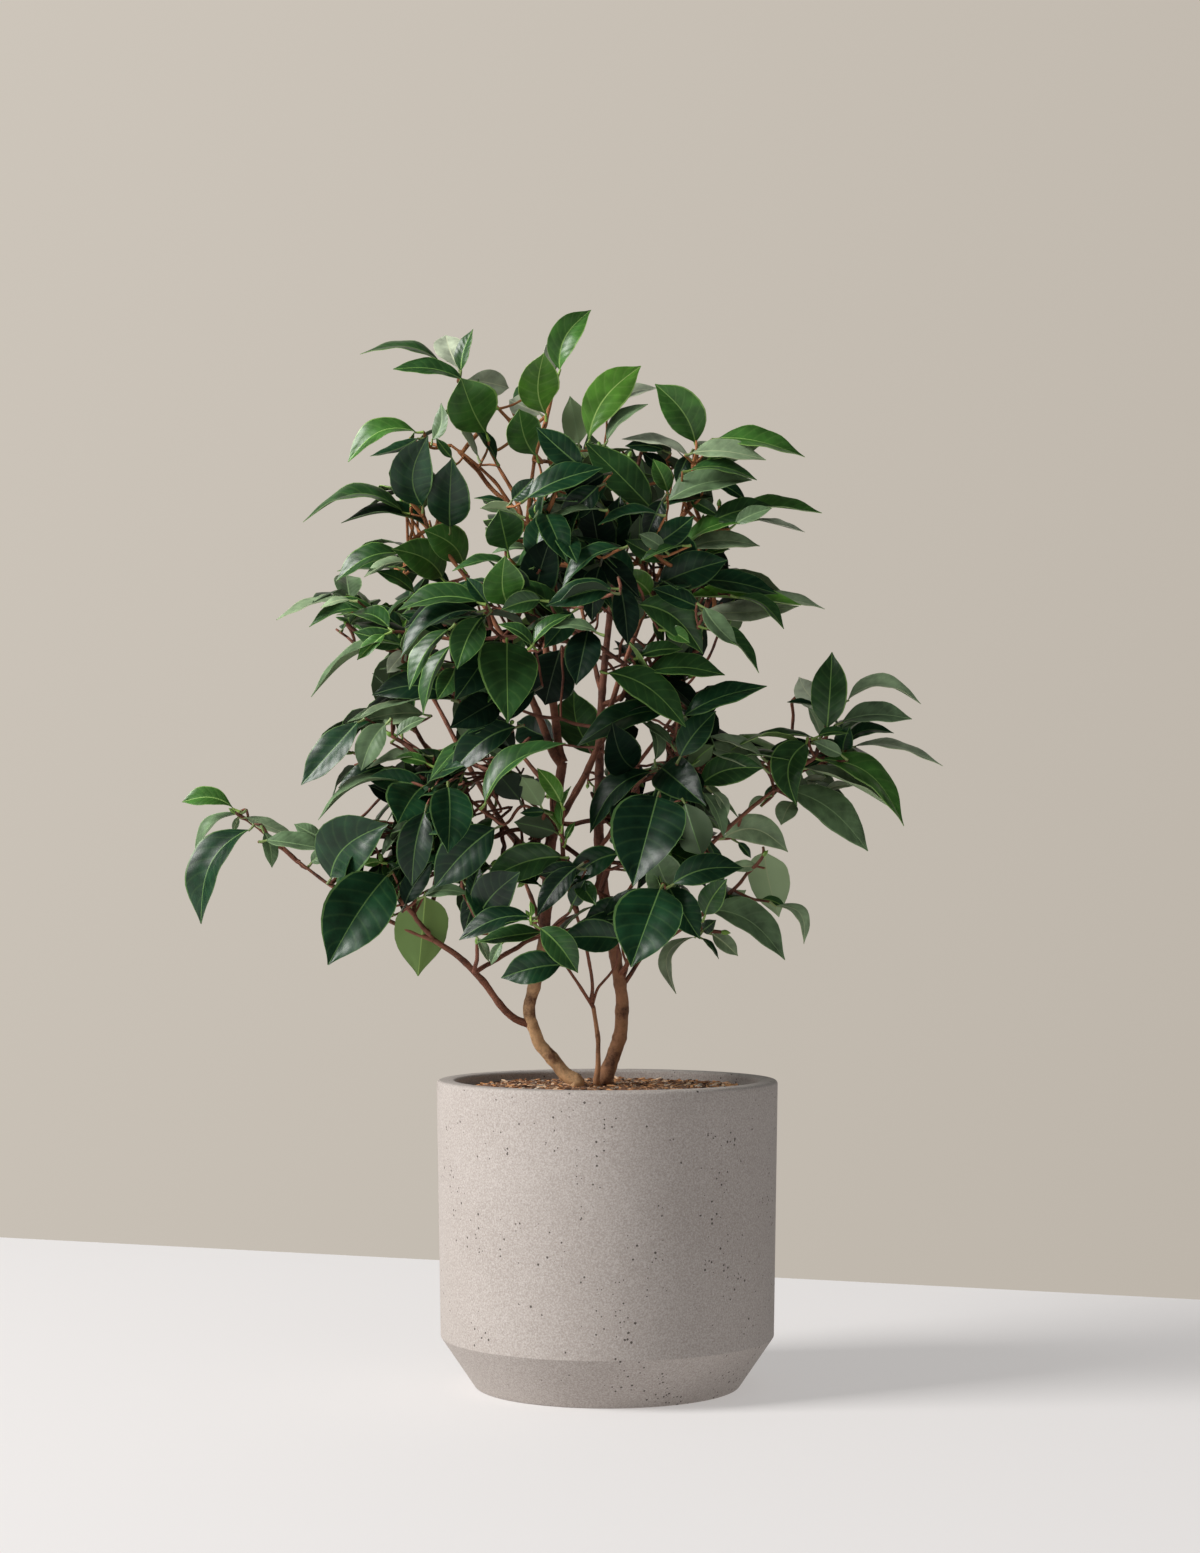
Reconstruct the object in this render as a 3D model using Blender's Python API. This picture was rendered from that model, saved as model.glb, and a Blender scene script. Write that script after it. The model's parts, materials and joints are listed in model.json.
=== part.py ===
"""Potted camellia shrub: a turned pot, its potting mix, three stems, their boughs and the
masses of foliage that the boughs carry.

Metres, +Z up, front towards -Y. The origin is the centre of the pot's flat underside.
"""
import math
from collections import namedtuple

import bmesh
import bpy
from mathutils import Vector, noise
from mathutils.bvhtree import BVHTree

# Driving dimensions of the pot
POT_HEIGHT = 0.276
POT_RIM_RADIUS = 0.155
POT_SHOULDER_RADIUS = 0.151
POT_SHOULDER_HEIGHT = 0.0463
POT_FOOT_RADIUS = 0.1194
POT_WALL = 0.0175
POT_FLOOR = 0.024
POT_EDGE_ROUND = 0.0035
POT_FOOT_EDGE_END = -35
POT_SEGMENTS = 36
SHARP_ANGLE = math.radians(40)

# Potting mix
MIX_CENTRE_HEIGHT = 0.270
MIX_WALL_HEIGHT = 0.268
MIX_LEVEL_RADIUS = 0.045
MIX_RINGS = 4
MIX_UNEVEN = 0.0016
MIX_UNEVEN_PITCH = 60

# Clearances between pieces
GAP = 0.0003
CUTTER_GROWTH = 0.00036
PLANE_OFFSET = 0.00018
ON_PLANE = 1e-6
NO_LENGTH = 1e-9

# Limbs
RING_STEP = 0.034
LIMB_SIDES = 6
STEM_SIDES = 8
FLARE_LENGTH = 0.012
ROOT_RUN = 0.016
MASS_ENTRY = 0.0015
TANGENT_SPAN = 0.002
FIRST_SIDE = Vector((0.3, -1, 0.1))
BOUGH_SPANS = 4
PROBES = 60
LIMB_MARGIN = 0.012
MASS_MARGIN = 0.004

# Masses of foliage
MASS_SEGMENTS = 11
MASS_RINGS = 8
LUMP_DEPTH = 0.24
LUMP_PITCH = 1.7
TUFT_DEPTH = 0.16
TUFT_PITCH = 4.1
NOISE_STRIDE = Vector((7.3, 3.1, 5.7))
WELD = 0.0012

FOOT = MIX_CENTRE_HEIGHT + GAP

Stem = namedtuple("Stem", "name points start_radius tip_radius flare")
Bough = namedtuple("Bough", "name parent at points start_radius tip_radius into")
Mass = namedtuple("Mass", "name centre radii")

# Stems run through their bends from a flat cut on the mix. flare is what the root flare adds.
STEMS = (
    Stem("stem_left", ((-0.029, 0.004, FOOT), (-0.057, 0.006, 0.302), (-0.073, 0.000, 0.327),
                       (-0.069, -0.002, 0.350), (-0.058, -0.005, 0.400), (-0.053, -0.004, 0.480),
                       (-0.041, 0.000, 0.565)), 0.0062, 0.0046, 0.0006),
    Stem("stem_right", ((-0.003, 0.014, FOOT), (0.004, 0.018, 0.292), (0.013, 0.020, 0.318),
                        (0.014, 0.020, 0.347), (0.005, 0.021, 0.402), (-0.007, 0.026, 0.476),
                        (-0.007, 0.033, 0.569), (-0.004, 0.036, 0.640), (0.010, 0.042, 0.760),
                        (0.032, 0.026, 0.856)), 0.0068, 0.0016, 0.0014),
    Stem("stem_middle", ((-0.011, -0.001, FOOT), (-0.007, -0.004, 0.300), (-0.013, -0.008, 0.344)),
         0.0023, 0.0020, 0.0008),
)

# A bough leaves its parent at a fraction of the parent's length and runs through its bend to its
# tip. into is the mass that it ends in.
BOUGHS = (
    Bough("bough_left_top", "stem_left", 0.985, ((-0.059, -0.006, 0.690), (-0.075, -0.010, 0.800),
          (-0.057, -0.010, 0.874)), 0.0042, 0.0016, "mass_top"),
    Bough("bough_left_high", "stem_left", 0.97, ((-0.079, -0.020, 0.646), (-0.120, -0.030, 0.720),
          (-0.184, -0.035, 0.800)), 0.0040, 0.0015, "mass_left_top"),
    Bough("bough_crown_left", "bough_left_top", 0.76, ((-0.105, -0.014, 0.824),
          (-0.148, -0.018, 0.858)), 0.0020, 0.0013, "mass_top_left"),
    Bough("bough_left_side", "bough_left_high", 0.40, ((-0.148, -0.026, 0.678),
          (-0.215, -0.020, 0.670)), 0.0022, 0.0014, "mass_left_middle"),
    Bough("bough_left_back", "stem_left", 0.66, ((-0.111, 0.030, 0.531), (-0.154, 0.054, 0.613),
          (-0.205, 0.052, 0.700)), 0.0030, 0.0016, "mass_left_shoulder"),
    Bough("bough_left_middle", "stem_left", 0.68, ((-0.086, -0.030, 0.500), (-0.123, -0.050, 0.528),
          (-0.190, -0.065, 0.590)), 0.0027, 0.0014, "mass_left_lower"),
    Bough("bough_left_low", "stem_left", 0.25, ((-0.089, -0.005, 0.333), (-0.116, -0.015, 0.370),
          (-0.134, -0.020, 0.388), (-0.158, -0.026, 0.404)), 0.0036, 0.0027, None),
    Bough("bough_left_far", "bough_left_low", 0.95, ((-0.194, -0.030, 0.419), (-0.250, -0.030, 0.452),
          (-0.343, -0.015, 0.524)), 0.0023, 0.0013, "mass_far_left"),
    Bough("bough_left_fork", "bough_left_low", 0.96, ((-0.185, -0.040, 0.434),
          (-0.214, -0.052, 0.474)), 0.0020, 0.0013, "mass_left_low"),
    Bough("bough_centre", "stem_left", 0.80, ((-0.007, -0.018, 0.580), (0.016, -0.030, 0.656),
          (0.039, -0.032, 0.715), (0.076, -0.020, 0.805)), 0.0036, 0.0015, "mass_right_top"),
    Bough("bough_right_top", "stem_right", 0.60, ((0.045, 0.026, 0.650),
          (0.112, 0.008, 0.712)), 0.0028, 0.0015, "mass_right_shoulder"),
    Bough("bough_right_front", "bough_centre", 0.50, ((0.050, -0.060, 0.662),
          (0.088, -0.088, 0.672)), 0.0020, 0.0013, "mass_right_front"),
    Bough("bough_right_inner", "stem_right", 0.38, ((0.027, -0.010, 0.544), (0.052, -0.030, 0.572),
          (0.064, -0.040, 0.606)), 0.0024, 0.0014, "mass_right_middle"),
    Bough("bough_right_middle", "stem_right", 0.185, ((0.034, -0.026, 0.417), (0.055, -0.056, 0.451),
          (0.068, -0.050, 0.513), (0.078, -0.050, 0.560)), 0.0026, 0.0016, "mass_right_middle"),
    Bough("bough_right_far", "bough_right_middle", 0.45, ((0.087, -0.052, 0.484),
          (0.156, -0.030, 0.543), (0.205, -0.020, 0.573)), 0.0026, 0.0015, "mass_far_right"),
    Bough("bough_right_low", "stem_right", 0.155, ((0.024, 0.026, 0.377), (0.041, 0.030, 0.397),
          (0.067, 0.035, 0.410), (0.114, 0.040, 0.448), (0.146, 0.040, 0.483)),
          0.0024, 0.0013, "mass_right_low"),
    Bough("bough_middle_left", "stem_middle", 0.97, ((-0.038, -0.030, 0.381),
          (-0.070, -0.066, 0.420)), 0.0016, 0.0012, "mass_low_front"),
    Bough("bough_middle_right", "stem_middle", 0.97, ((-0.012, -0.012, 0.366), (-0.020, -0.020, 0.400),
          (-0.036, -0.040, 0.457), (-0.041, -0.068, 0.520)), 0.0017, 0.0011, "mass_middle_front"),
    Bough("bough_back_low_left", "stem_left", 0.52, ((-0.078, 0.074, 0.458),
          (-0.110, 0.120, 0.520)), 0.0026, 0.0015, "mass_back_low_left"),
    Bough("bough_back_low_right", "stem_right", 0.28, ((0.028, 0.092, 0.460),
          (0.060, 0.130, 0.530)), 0.0026, 0.0015, "mass_back_low_right"),
    Bough("bough_back_left", "stem_left", 0.90, ((-0.088, 0.080, 0.585),
          (-0.140, 0.125, 0.655)), 0.0026, 0.0015, "mass_back_left"),
    Bough("bough_back_right", "stem_right", 0.44, ((0.046, 0.096, 0.590),
          (0.100, 0.125, 0.665)), 0.0026, 0.0015, "mass_back_right"),
    Bough("bough_back_top", "stem_right", 0.62, ((-0.018, 0.090, 0.690), (-0.030, 0.122, 0.745),
          (-0.034, 0.130, 0.800)), 0.0025, 0.0015, "mass_upper_back"),
    Bough("bough_front_middle", "bough_left_top", 0.30, ((-0.036, -0.070, 0.660),
          (-0.022, -0.118, 0.680)), 0.0022, 0.0013, "mass_centre_front"),
    Bough("bough_front_upper", "bough_left_top", 0.58, ((-0.062, -0.056, 0.742),
          (-0.062, -0.096, 0.785)), 0.0020, 0.0013, "mass_upper_front"),
    Bough("bough_front_left", "bough_left_high", 0.40, ((-0.112, -0.070, 0.672),
          (-0.135, -0.105, 0.705)), 0.0020, 0.0013, "mass_left_front"),
)

MASSES = (
    Mass("mass_top", (-0.058, -0.010, 0.910), (0.050, 0.060, 0.068)),
    Mass("mass_top_left", (-0.160, -0.020, 0.908), (0.070, 0.064, 0.054)),
    Mass("mass_top_right", (0.040, 0.020, 0.886), (0.062, 0.072, 0.052)),
    Mass("mass_right_top", (0.126, -0.005, 0.822), (0.074, 0.086, 0.054)),
    Mass("mass_left_top", (-0.206, -0.030, 0.830), (0.078, 0.084, 0.058)),
    Mass("mass_upper_front", (-0.066, -0.126, 0.802), (0.070, 0.072, 0.064)),
    Mass("mass_upper_back", (-0.040, 0.140, 0.830), (0.098, 0.082, 0.078)),
    Mass("mass_right_upper", (0.056, -0.090, 0.788), (0.068, 0.082, 0.058)),
    Mass("mass_right_shoulder", (0.134, 0.000, 0.735), (0.070, 0.098, 0.048)),
    Mass("mass_left_shoulder", (-0.232, 0.015, 0.725), (0.076, 0.096, 0.052)),
    Mass("mass_left_front", (-0.134, -0.142, 0.732), (0.068, 0.074, 0.062)),
    Mass("mass_centre_front", (-0.022, -0.158, 0.684), (0.066, 0.074, 0.060)),
    Mass("mass_right_front", (0.090, -0.120, 0.672), (0.066, 0.080, 0.050)),
    Mass("mass_left_middle", (-0.220, -0.045, 0.648), (0.068, 0.078, 0.038)),
    Mass("mass_back_middle", (-0.030, 0.165, 0.700), (0.094, 0.076, 0.070)),
    Mass("mass_right_middle", (0.082, -0.070, 0.598), (0.080, 0.074, 0.050)),
    Mass("mass_left_lower", (-0.216, -0.050, 0.564), (0.076, 0.080, 0.056)),
    Mass("mass_left_low_front", (-0.116, -0.116, 0.545), (0.076, 0.076, 0.070)),
    Mass("mass_back_left", (-0.165, 0.150, 0.670), (0.086, 0.082, 0.088)),
    Mass("mass_back_right", (0.110, 0.150, 0.680), (0.082, 0.080, 0.086)),
    Mass("mass_right_low_front", (0.054, -0.128, 0.482), (0.066, 0.070, 0.080)),
    Mass("mass_right_low", (0.140, 0.045, 0.444), (0.058, 0.064, 0.056)),
    Mass("mass_low_front", (-0.070, -0.098, 0.436), (0.072, 0.064, 0.064)),
    Mass("mass_middle_front", (-0.030, -0.100, 0.556), (0.054, 0.062, 0.060)),
    Mass("mass_back_low_left", (-0.120, 0.140, 0.530), (0.082, 0.074, 0.068)),
    Mass("mass_back_low_right", (0.070, 0.150, 0.535), (0.086, 0.074, 0.070)),
    Mass("mass_far_left", (-0.332, -0.018, 0.484), (0.056, 0.052, 0.060)),
    Mass("mass_left_low", (-0.214, -0.050, 0.458), (0.072, 0.062, 0.068)),
    Mass("mass_far_right", (0.222, -0.022, 0.578), (0.086, 0.074, 0.084)),
)

MATERIALS = {
    "pot": ((0.40, 0.35, 0.31, 1.0), 0.85),
    "mix": ((0.050, 0.030, 0.020, 1.0), 0.95),
    "bark": ((0.26, 0.15, 0.08, 1.0), 0.80),
    "foliage": ((0.035, 0.085, 0.040, 1.0), 0.45),
}


def clear_scene():
    for item in list(bpy.data.objects):
        bpy.data.objects.remove(item, do_unlink=True)


def material(name):
    """One Principled material for each kind of surface."""
    made = bpy.data.materials.get(name)
    if made:
        return made
    colour, roughness = MATERIALS[name]
    made = bpy.data.materials.new(name)
    made.use_nodes = True
    shader = made.node_tree.nodes["Principled BSDF"]
    shader.inputs["Base Color"].default_value = colour
    shader.inputs["Roughness"].default_value = roughness
    shader.inputs["Metallic"].default_value = 0.0
    return made


def add_object(name, bm, surface):
    """Turns a bmesh into a named object, its faces pointing out and its round sides smooth."""
    bmesh.ops.recalc_face_normals(bm, faces=bm.faces)
    mesh = bpy.data.meshes.new(name)
    bm.to_mesh(mesh)
    bm.free()
    mesh.shade_smooth()
    mesh.set_sharp_from_angle(angle=SHARP_ANGLE)
    item = bpy.data.objects.new(name, mesh)
    item.data.materials.append(material(surface))
    bpy.context.scene.collection.objects.link(item)
    return item


def arc(centre, radius, start, end, steps=3):
    """Points (radius, height) of a rounded edge, angles in degrees."""
    angles = [math.radians(start + (end - start) * i / steps) for i in range(steps + 1)]
    return [(centre[0] + radius * math.cos(a), centre[1] + radius * math.sin(a)) for a in angles]


def turned(name, profile, surface, lift=None):
    """Turns a profile of (radius, height) about the vertical axis. The first and the last point
    lie on the axis. lift gives each point's extra height from its place."""
    bm = bmesh.new()
    rings = []
    for radius, height in profile:
        count = POT_SEGMENTS if radius > 0 else 1
        ring = []
        for i in range(count):
            turn = 2 * math.pi * i / POT_SEGMENTS
            place = Vector((radius * math.cos(turn), radius * math.sin(turn), height))
            if lift:
                place.z += lift(place)
            ring.append(bm.verts.new(place))
        rings.append(ring)
    for lower, upper in zip(rings, rings[1:]):
        for i in range(POT_SEGMENTS):
            corners = [lower[i % len(lower)], lower[(i + 1) % len(lower)],
                       upper[(i + 1) % len(upper)], upper[i % len(upper)]]
            bm.faces.new(list(dict.fromkeys(corners)))
    return add_object(name, bm, surface)


def outer_radius(height):
    """The pot's outer radius: a sloping foot up to the shoulder, then a wall that opens slightly."""
    if height < POT_SHOULDER_HEIGHT:
        share = height / POT_SHOULDER_HEIGHT
        return POT_FOOT_RADIUS + share * (POT_SHOULDER_RADIUS - POT_FOOT_RADIUS)
    share = (height - POT_SHOULDER_HEIGHT) / (POT_HEIGHT - POT_SHOULDER_HEIGHT)
    return POT_SHOULDER_RADIUS + share * (POT_RIM_RADIUS - POT_SHOULDER_RADIUS)


def build_pot():
    edge = POT_EDGE_ROUND
    inner = POT_RIM_RADIUS - POT_WALL
    rim_z = POT_HEIGHT - edge
    profile = [(0, 0)]
    profile += arc((POT_FOOT_RADIUS - edge / 2, edge), edge, -90, POT_FOOT_EDGE_END)
    profile += [(POT_SHOULDER_RADIUS, POT_SHOULDER_HEIGHT)]
    profile += arc((POT_RIM_RADIUS - edge, rim_z), edge, 0, 90)
    profile += arc((inner + edge, rim_z), edge, 90, 180)
    profile += [(inner, POT_SHOULDER_HEIGHT + POT_WALL), (outer_radius(POT_FLOOR) - POT_WALL, POT_FLOOR)]
    profile += [(0, POT_FLOOR)]
    turned("pot", profile, "pot")


def build_mix():
    """The mix fills the pot to below the rim. It is level round the stems and uneven outside."""
    wall = POT_RIM_RADIUS - POT_WALL - GAP

    def lift(place):
        reach = math.hypot(place.x, place.y)
        if place.z < MIX_WALL_HEIGHT - GAP or reach > wall - GAP or reach < MIX_LEVEL_RADIUS + GAP:
            return 0
        return MIX_UNEVEN * noise.noise(place * MIX_UNEVEN_PITCH)

    profile = [(0, POT_FLOOR + GAP), (outer_radius(POT_FLOOR) - POT_WALL - 2 * GAP, POT_FLOOR + GAP)]
    profile += [(wall, POT_SHOULDER_HEIGHT + POT_WALL), (wall, MIX_WALL_HEIGHT)]
    for i in range(1, MIX_RINGS + 1):
        share = i / MIX_RINGS
        height = MIX_WALL_HEIGHT + share * (MIX_CENTRE_HEIGHT - MIX_WALL_HEIGHT)
        profile.append((wall + share * (MIX_LEVEL_RADIUS - wall), height))
    profile.append((0, MIX_CENTRE_HEIGHT))
    turned("potting_mix", profile, "mix", lift)


def cut_flat(bm, point, normal):
    """Cuts away what lies past a plane and closes the cut with a flat face."""
    everything = bm.verts[:] + bm.edges[:] + bm.faces[:]
    bmesh.ops.bisect_plane(bm, geom=everything, plane_co=point, plane_no=normal,
                           clear_outer=True, dist=ON_PLANE)
    rim = [e for e in bm.edges if e.is_boundary]
    if rim:
        bmesh.ops.holes_fill(bm, edges=rim, sides=0)


class Line:
    """A smooth centre line through points, read by length."""

    PER_SPAN = 24

    def __init__(self, points):
        points = [Vector(p) for p in points]
        ends = [2 * points[0] - points[1], *points, 2 * points[-1] - points[-2]]
        self.dense = [points[0]]
        for a, b, c, d in zip(ends, ends[1:], ends[2:], ends[3:]):
            for i in range(1, self.PER_SPAN + 1):
                t = i / self.PER_SPAN
                place = 2 * b + (c - a) * t + (2 * a - 5 * b + 4 * c - d) * t ** 2
                place += (3 * b - a - 3 * c + d) * t ** 3
                self.dense.append(place / 2)
        self.run = [0.0]
        for a, b in zip(self.dense, self.dense[1:]):
            self.run.append(self.run[-1] + (b - a).length)
        self.length = self.run[-1]

    def at(self, distance):
        distance = min(max(distance, 0), self.length)
        last = len(self.run) - 1
        i = next((k for k in range(last) if self.run[k + 1] >= distance), last - 1)
        share = (distance - self.run[i]) / max(self.run[i + 1] - self.run[i], NO_LENGTH)
        return self.dense[i].lerp(self.dense[i + 1], share)


class Limb:
    """A tapering limb: its centre line, its radius along it, and the tube made from them."""

    def __init__(self, name, line, start_radius, tip_radius, flare=0, sides=LIMB_SIDES):
        self.name = name
        self.line = line
        self.start_radius = start_radius
        self.tip_radius = tip_radius
        self.flare = flare
        self.sides = sides
        self.length = line.length

    def radius(self, distance):
        share = distance / self.line.length
        swell = self.flare * math.exp(-max(distance - ROOT_RUN, 0) / FLARE_LENGTH)
        return self.start_radius + share * (self.tip_radius - self.start_radius) + swell

    def stations(self):
        """Distances of the rings. The flare gets rings of its own."""
        count = max(3, math.ceil(self.length / RING_STEP))
        steps = [self.length * i / count for i in range(count + 1)]
        if self.flare:
            steps += [ROOT_RUN, ROOT_RUN + FLARE_LENGTH * 0.5]
        return sorted(steps)

    def tube(self, growth=0):
        """A closed tube. growth makes it fatter and longer, for use as a cutter."""
        bm = bmesh.new()
        side = FIRST_SIDE
        stations = self.stations()
        rings = []
        for distance in stations:
            centre = self.line.at(distance)
            ahead = self.line.at(distance + TANGENT_SPAN) - self.line.at(distance - TANGENT_SPAN)
            ahead.normalize()
            if distance == 0:
                centre = centre - ahead * growth
            elif distance == stations[-1]:
                centre = centre + ahead * growth
            side = (side - ahead * side.dot(ahead)).normalized()
            over = ahead.cross(side)
            radius = self.radius(distance) + growth
            ring = []
            for i in range(self.sides):
                turn = 2 * math.pi * i / self.sides
                ring.append(bm.verts.new(centre + radius * (math.cos(turn) * side + math.sin(turn) * over)))
            rings.append(ring)
        for lower, upper in zip(rings, rings[1:]):
            for i in range(self.sides):
                j = (i + 1) % self.sides
                bm.faces.new((lower[i], lower[j], upper[j], upper[i]))
        bm.faces.new(reversed(rings[0]))
        bm.faces.new(rings[-1])
        if self.flare:
            cut_flat(bm, Vector((0, 0, FOOT - growth)), Vector((0, 0, -1)))
        return bm

    def near(self, low, high, margin):
        """Whether the limb passes through a box."""
        for k in range(PROBES + 1):
            place = self.line.at(self.length * k / PROBES)
            if all(low[a] - margin < place[a] < high[a] + margin for a in range(3)):
                return True
        return False


class Foliage:
    """A mass of leaves: an uneven ellipsoid, cut flat where it meets its neighbours."""

    def __init__(self, mass, number):
        self.name = mass.name
        self.centre = Vector(mass.centre)
        self.radii = Vector(mass.radii)
        self.offset = number * NOISE_STRIDE
        self.cuts = []

    def swell(self, direction):
        lump = noise.noise(direction * LUMP_PITCH + self.offset)
        tuft = noise.noise(direction * TUFT_PITCH - self.offset)
        return 1 + LUMP_DEPTH * lump + TUFT_DEPTH * tuft

    def support(self, direction):
        """How far the ellipsoid reaches along a direction."""
        return math.sqrt(sum((self.radii[a] * direction[a]) ** 2 for a in range(3)))

    def entry(self, line):
        """How far along a line its first crossing of this mass's surface lies."""
        bm = self.body()
        surface = BVHTree.FromBMesh(bm)
        bm.free()
        for a, b, run in zip(line.dense, line.dense[1:], line.run):
            place = surface.ray_cast(a, b - a, (b - a).length)[0]
            if place:
                return run + (place - a).length
        raise ValueError("a bough never reaches " + self.name)

    def body(self):
        bm = bmesh.new()
        bmesh.ops.create_uvsphere(bm, u_segments=MASS_SEGMENTS, v_segments=MASS_RINGS, radius=1)
        for vert in bm.verts:
            swell = self.swell(vert.co.normalized())
            vert.co = self.centre + Vector([vert.co[a] * self.radii[a] * swell for a in range(3)])
        for point, normal in self.cuts:
            cut_flat(bm, point, normal)
            bmesh.ops.remove_doubles(bm, verts=bm.verts, dist=WELD)
        return bm


def separate(first, second):
    """Cuts two masses that would meet at a plane between them, a little clear of it on each side."""
    across = second.centre - first.centre
    span = across.length
    direction = across / span
    reach = [m.support(direction) * (1 + LUMP_DEPTH) for m in (first, second)]
    if sum(reach) <= span:
        return
    middle = first.centre + direction * span * reach[0] / sum(reach)
    first.cuts.append((middle - direction * PLANE_OFFSET, direction))
    second.cuts.append((middle + direction * PLANE_OFFSET, -direction))


def largest_body(bm):
    """Removes every island of faces but the widest one."""
    todo = set(bm.verts)
    islands = []
    while todo:
        start = todo.pop()
        island = {start}
        edge = [start]
        while edge:
            vert = edge.pop()
            for link in vert.link_edges:
                other = link.other_vert(vert)
                if other in todo:
                    todo.remove(other)
                    island.add(other)
                    edge.append(other)
        islands.append(island)

    def size(island):
        return sum(max(v.co[a] for v in island) - min(v.co[a] for v in island) for a in range(3))

    islands.sort(key=size)
    for island in islands[:-1]:
        bmesh.ops.delete(bm, geom=list(island), context="VERTS")


def carve(item, cutters):
    """Cuts the grown tubes of some limbs out of an object."""
    for limb in cutters:
        cutter = add_object("cutter_" + limb.name, limb.tube(CUTTER_GROWTH), "bark")
        cut = item.modifiers.new("cut", "BOOLEAN")
        cut.operation = "DIFFERENCE"
        cut.solver = "EXACT"
        cut.object = cutter
        bpy.context.view_layer.update()
        evaluated = item.evaluated_get(bpy.context.evaluated_depsgraph_get())
        result = bpy.data.meshes.new_from_object(evaluated)
        item.modifiers.clear()
        bm = bmesh.new()
        bm.from_mesh(result)
        bpy.data.meshes.remove(result)
        largest_body(bm)
        bmesh.ops.dissolve_degenerate(bm, edges=bm.edges, dist=ON_PLANE)
        bm.to_mesh(item.data)
        bm.free()
        bpy.data.objects.remove(cutter, do_unlink=True)


def grow_limbs(masses):
    """Works out every limb's centre line. A bough ends just inside the mass that it carries."""
    limbs = {}
    for stem in STEMS:
        foot, bend = Vector(stem.points[0]), Vector(stem.points[1])
        below = foot - (bend - foot).normalized() * ROOT_RUN
        limbs[stem.name] = Limb(stem.name, Line((below, *stem.points)), stem.start_radius,
                                stem.tip_radius, stem.flare, STEM_SIDES)
    for bough in BOUGHS:
        parent = limbs[bough.parent]
        start = parent.line.at(parent.length * bough.at)
        line = Line((start, *bough.points))
        if bough.into:
            end = masses[bough.into].entry(line) + MASS_ENTRY
            line = Line([line.at(end * k / BOUGH_SPANS) for k in range(BOUGH_SPANS + 1)])
        limbs[bough.name] = Limb(bough.name, line, bough.start_radius, bough.tip_radius)
    return limbs


def add_carved(name, bm, surface, limbs, margin):
    """Adds an object and cuts out of it the limbs that pass through its box."""
    item = add_object(name, bm, surface)
    corners = [v.co for v in item.data.vertices]
    low = [min(c[a] for c in corners) for a in range(3)]
    high = [max(c[a] for c in corners) for a in range(3)]
    carve(item, [limb for limb in limbs if limb.near(low, high, margin)])


def build():
    clear_scene()
    build_pot()
    build_mix()
    masses = {mass.name: Foliage(mass, i) for i, mass in enumerate(MASSES)}
    order = list(masses.values())
    for i, first in enumerate(order):
        for second in order[i + 1:]:
            separate(first, second)
    limbs = grow_limbs(masses)
    done = []
    for limb in limbs.values():
        add_carved(limb.name, limb.tube(), "bark", done, LIMB_MARGIN)
        done.append(limb)
    for mass in order:
        add_carved(mass.name, mass.body(), "foliage", done, MASS_MARGIN)


build()
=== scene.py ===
"""Looks of the potted camellia shrub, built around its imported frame.

The stems and boughs are read from the frame's limbs and made again with bark. Each mass of
foliage becomes twigs and leaves: twigs grow from the bough that enters the mass to the foot of
each leaf. The leaves that the photograph shows are placed by their foot and tip in it, and a
seeded rule fills the crown behind them and all round.
"""
import json
import math
import random
from collections import defaultdict, namedtuple
from functools import partial
from itertools import product

import bpy
import numpy as np
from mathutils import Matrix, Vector, noise
from mathutils.bvhtree import BVHTree

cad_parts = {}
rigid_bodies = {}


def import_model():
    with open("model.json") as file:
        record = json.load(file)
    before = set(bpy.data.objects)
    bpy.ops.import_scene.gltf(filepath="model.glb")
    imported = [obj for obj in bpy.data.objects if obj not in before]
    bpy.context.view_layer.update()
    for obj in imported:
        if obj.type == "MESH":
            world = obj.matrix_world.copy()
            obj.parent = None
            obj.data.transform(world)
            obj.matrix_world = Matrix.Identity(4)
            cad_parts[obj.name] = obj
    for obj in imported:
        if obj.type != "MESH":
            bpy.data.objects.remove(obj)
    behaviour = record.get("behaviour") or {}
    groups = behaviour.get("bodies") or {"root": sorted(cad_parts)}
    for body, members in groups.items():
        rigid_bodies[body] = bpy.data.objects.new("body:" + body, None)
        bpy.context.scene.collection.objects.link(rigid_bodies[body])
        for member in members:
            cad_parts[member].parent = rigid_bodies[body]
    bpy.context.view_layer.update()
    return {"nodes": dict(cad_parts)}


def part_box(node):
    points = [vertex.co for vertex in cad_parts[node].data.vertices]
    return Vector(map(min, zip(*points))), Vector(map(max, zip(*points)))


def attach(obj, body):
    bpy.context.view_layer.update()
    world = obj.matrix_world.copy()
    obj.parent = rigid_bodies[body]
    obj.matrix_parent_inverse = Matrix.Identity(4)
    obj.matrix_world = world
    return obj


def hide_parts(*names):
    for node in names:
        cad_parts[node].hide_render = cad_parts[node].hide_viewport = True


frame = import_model()

UP = Vector((0, 0, 1))

# Camera
PHOTO_WIDTH, PHOTO_HEIGHT = 1200, 1553
CAMERA_PLACE = Vector((-0.0066, -2.564, 0.4476))
CAMERA_PITCH = 0.0407
CAMERA_LENS = 65
CAMERA_SENSOR = 36
FOCAL_PIXELS = CAMERA_LENS / CAMERA_SENSOR * PHOTO_HEIGHT


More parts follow.
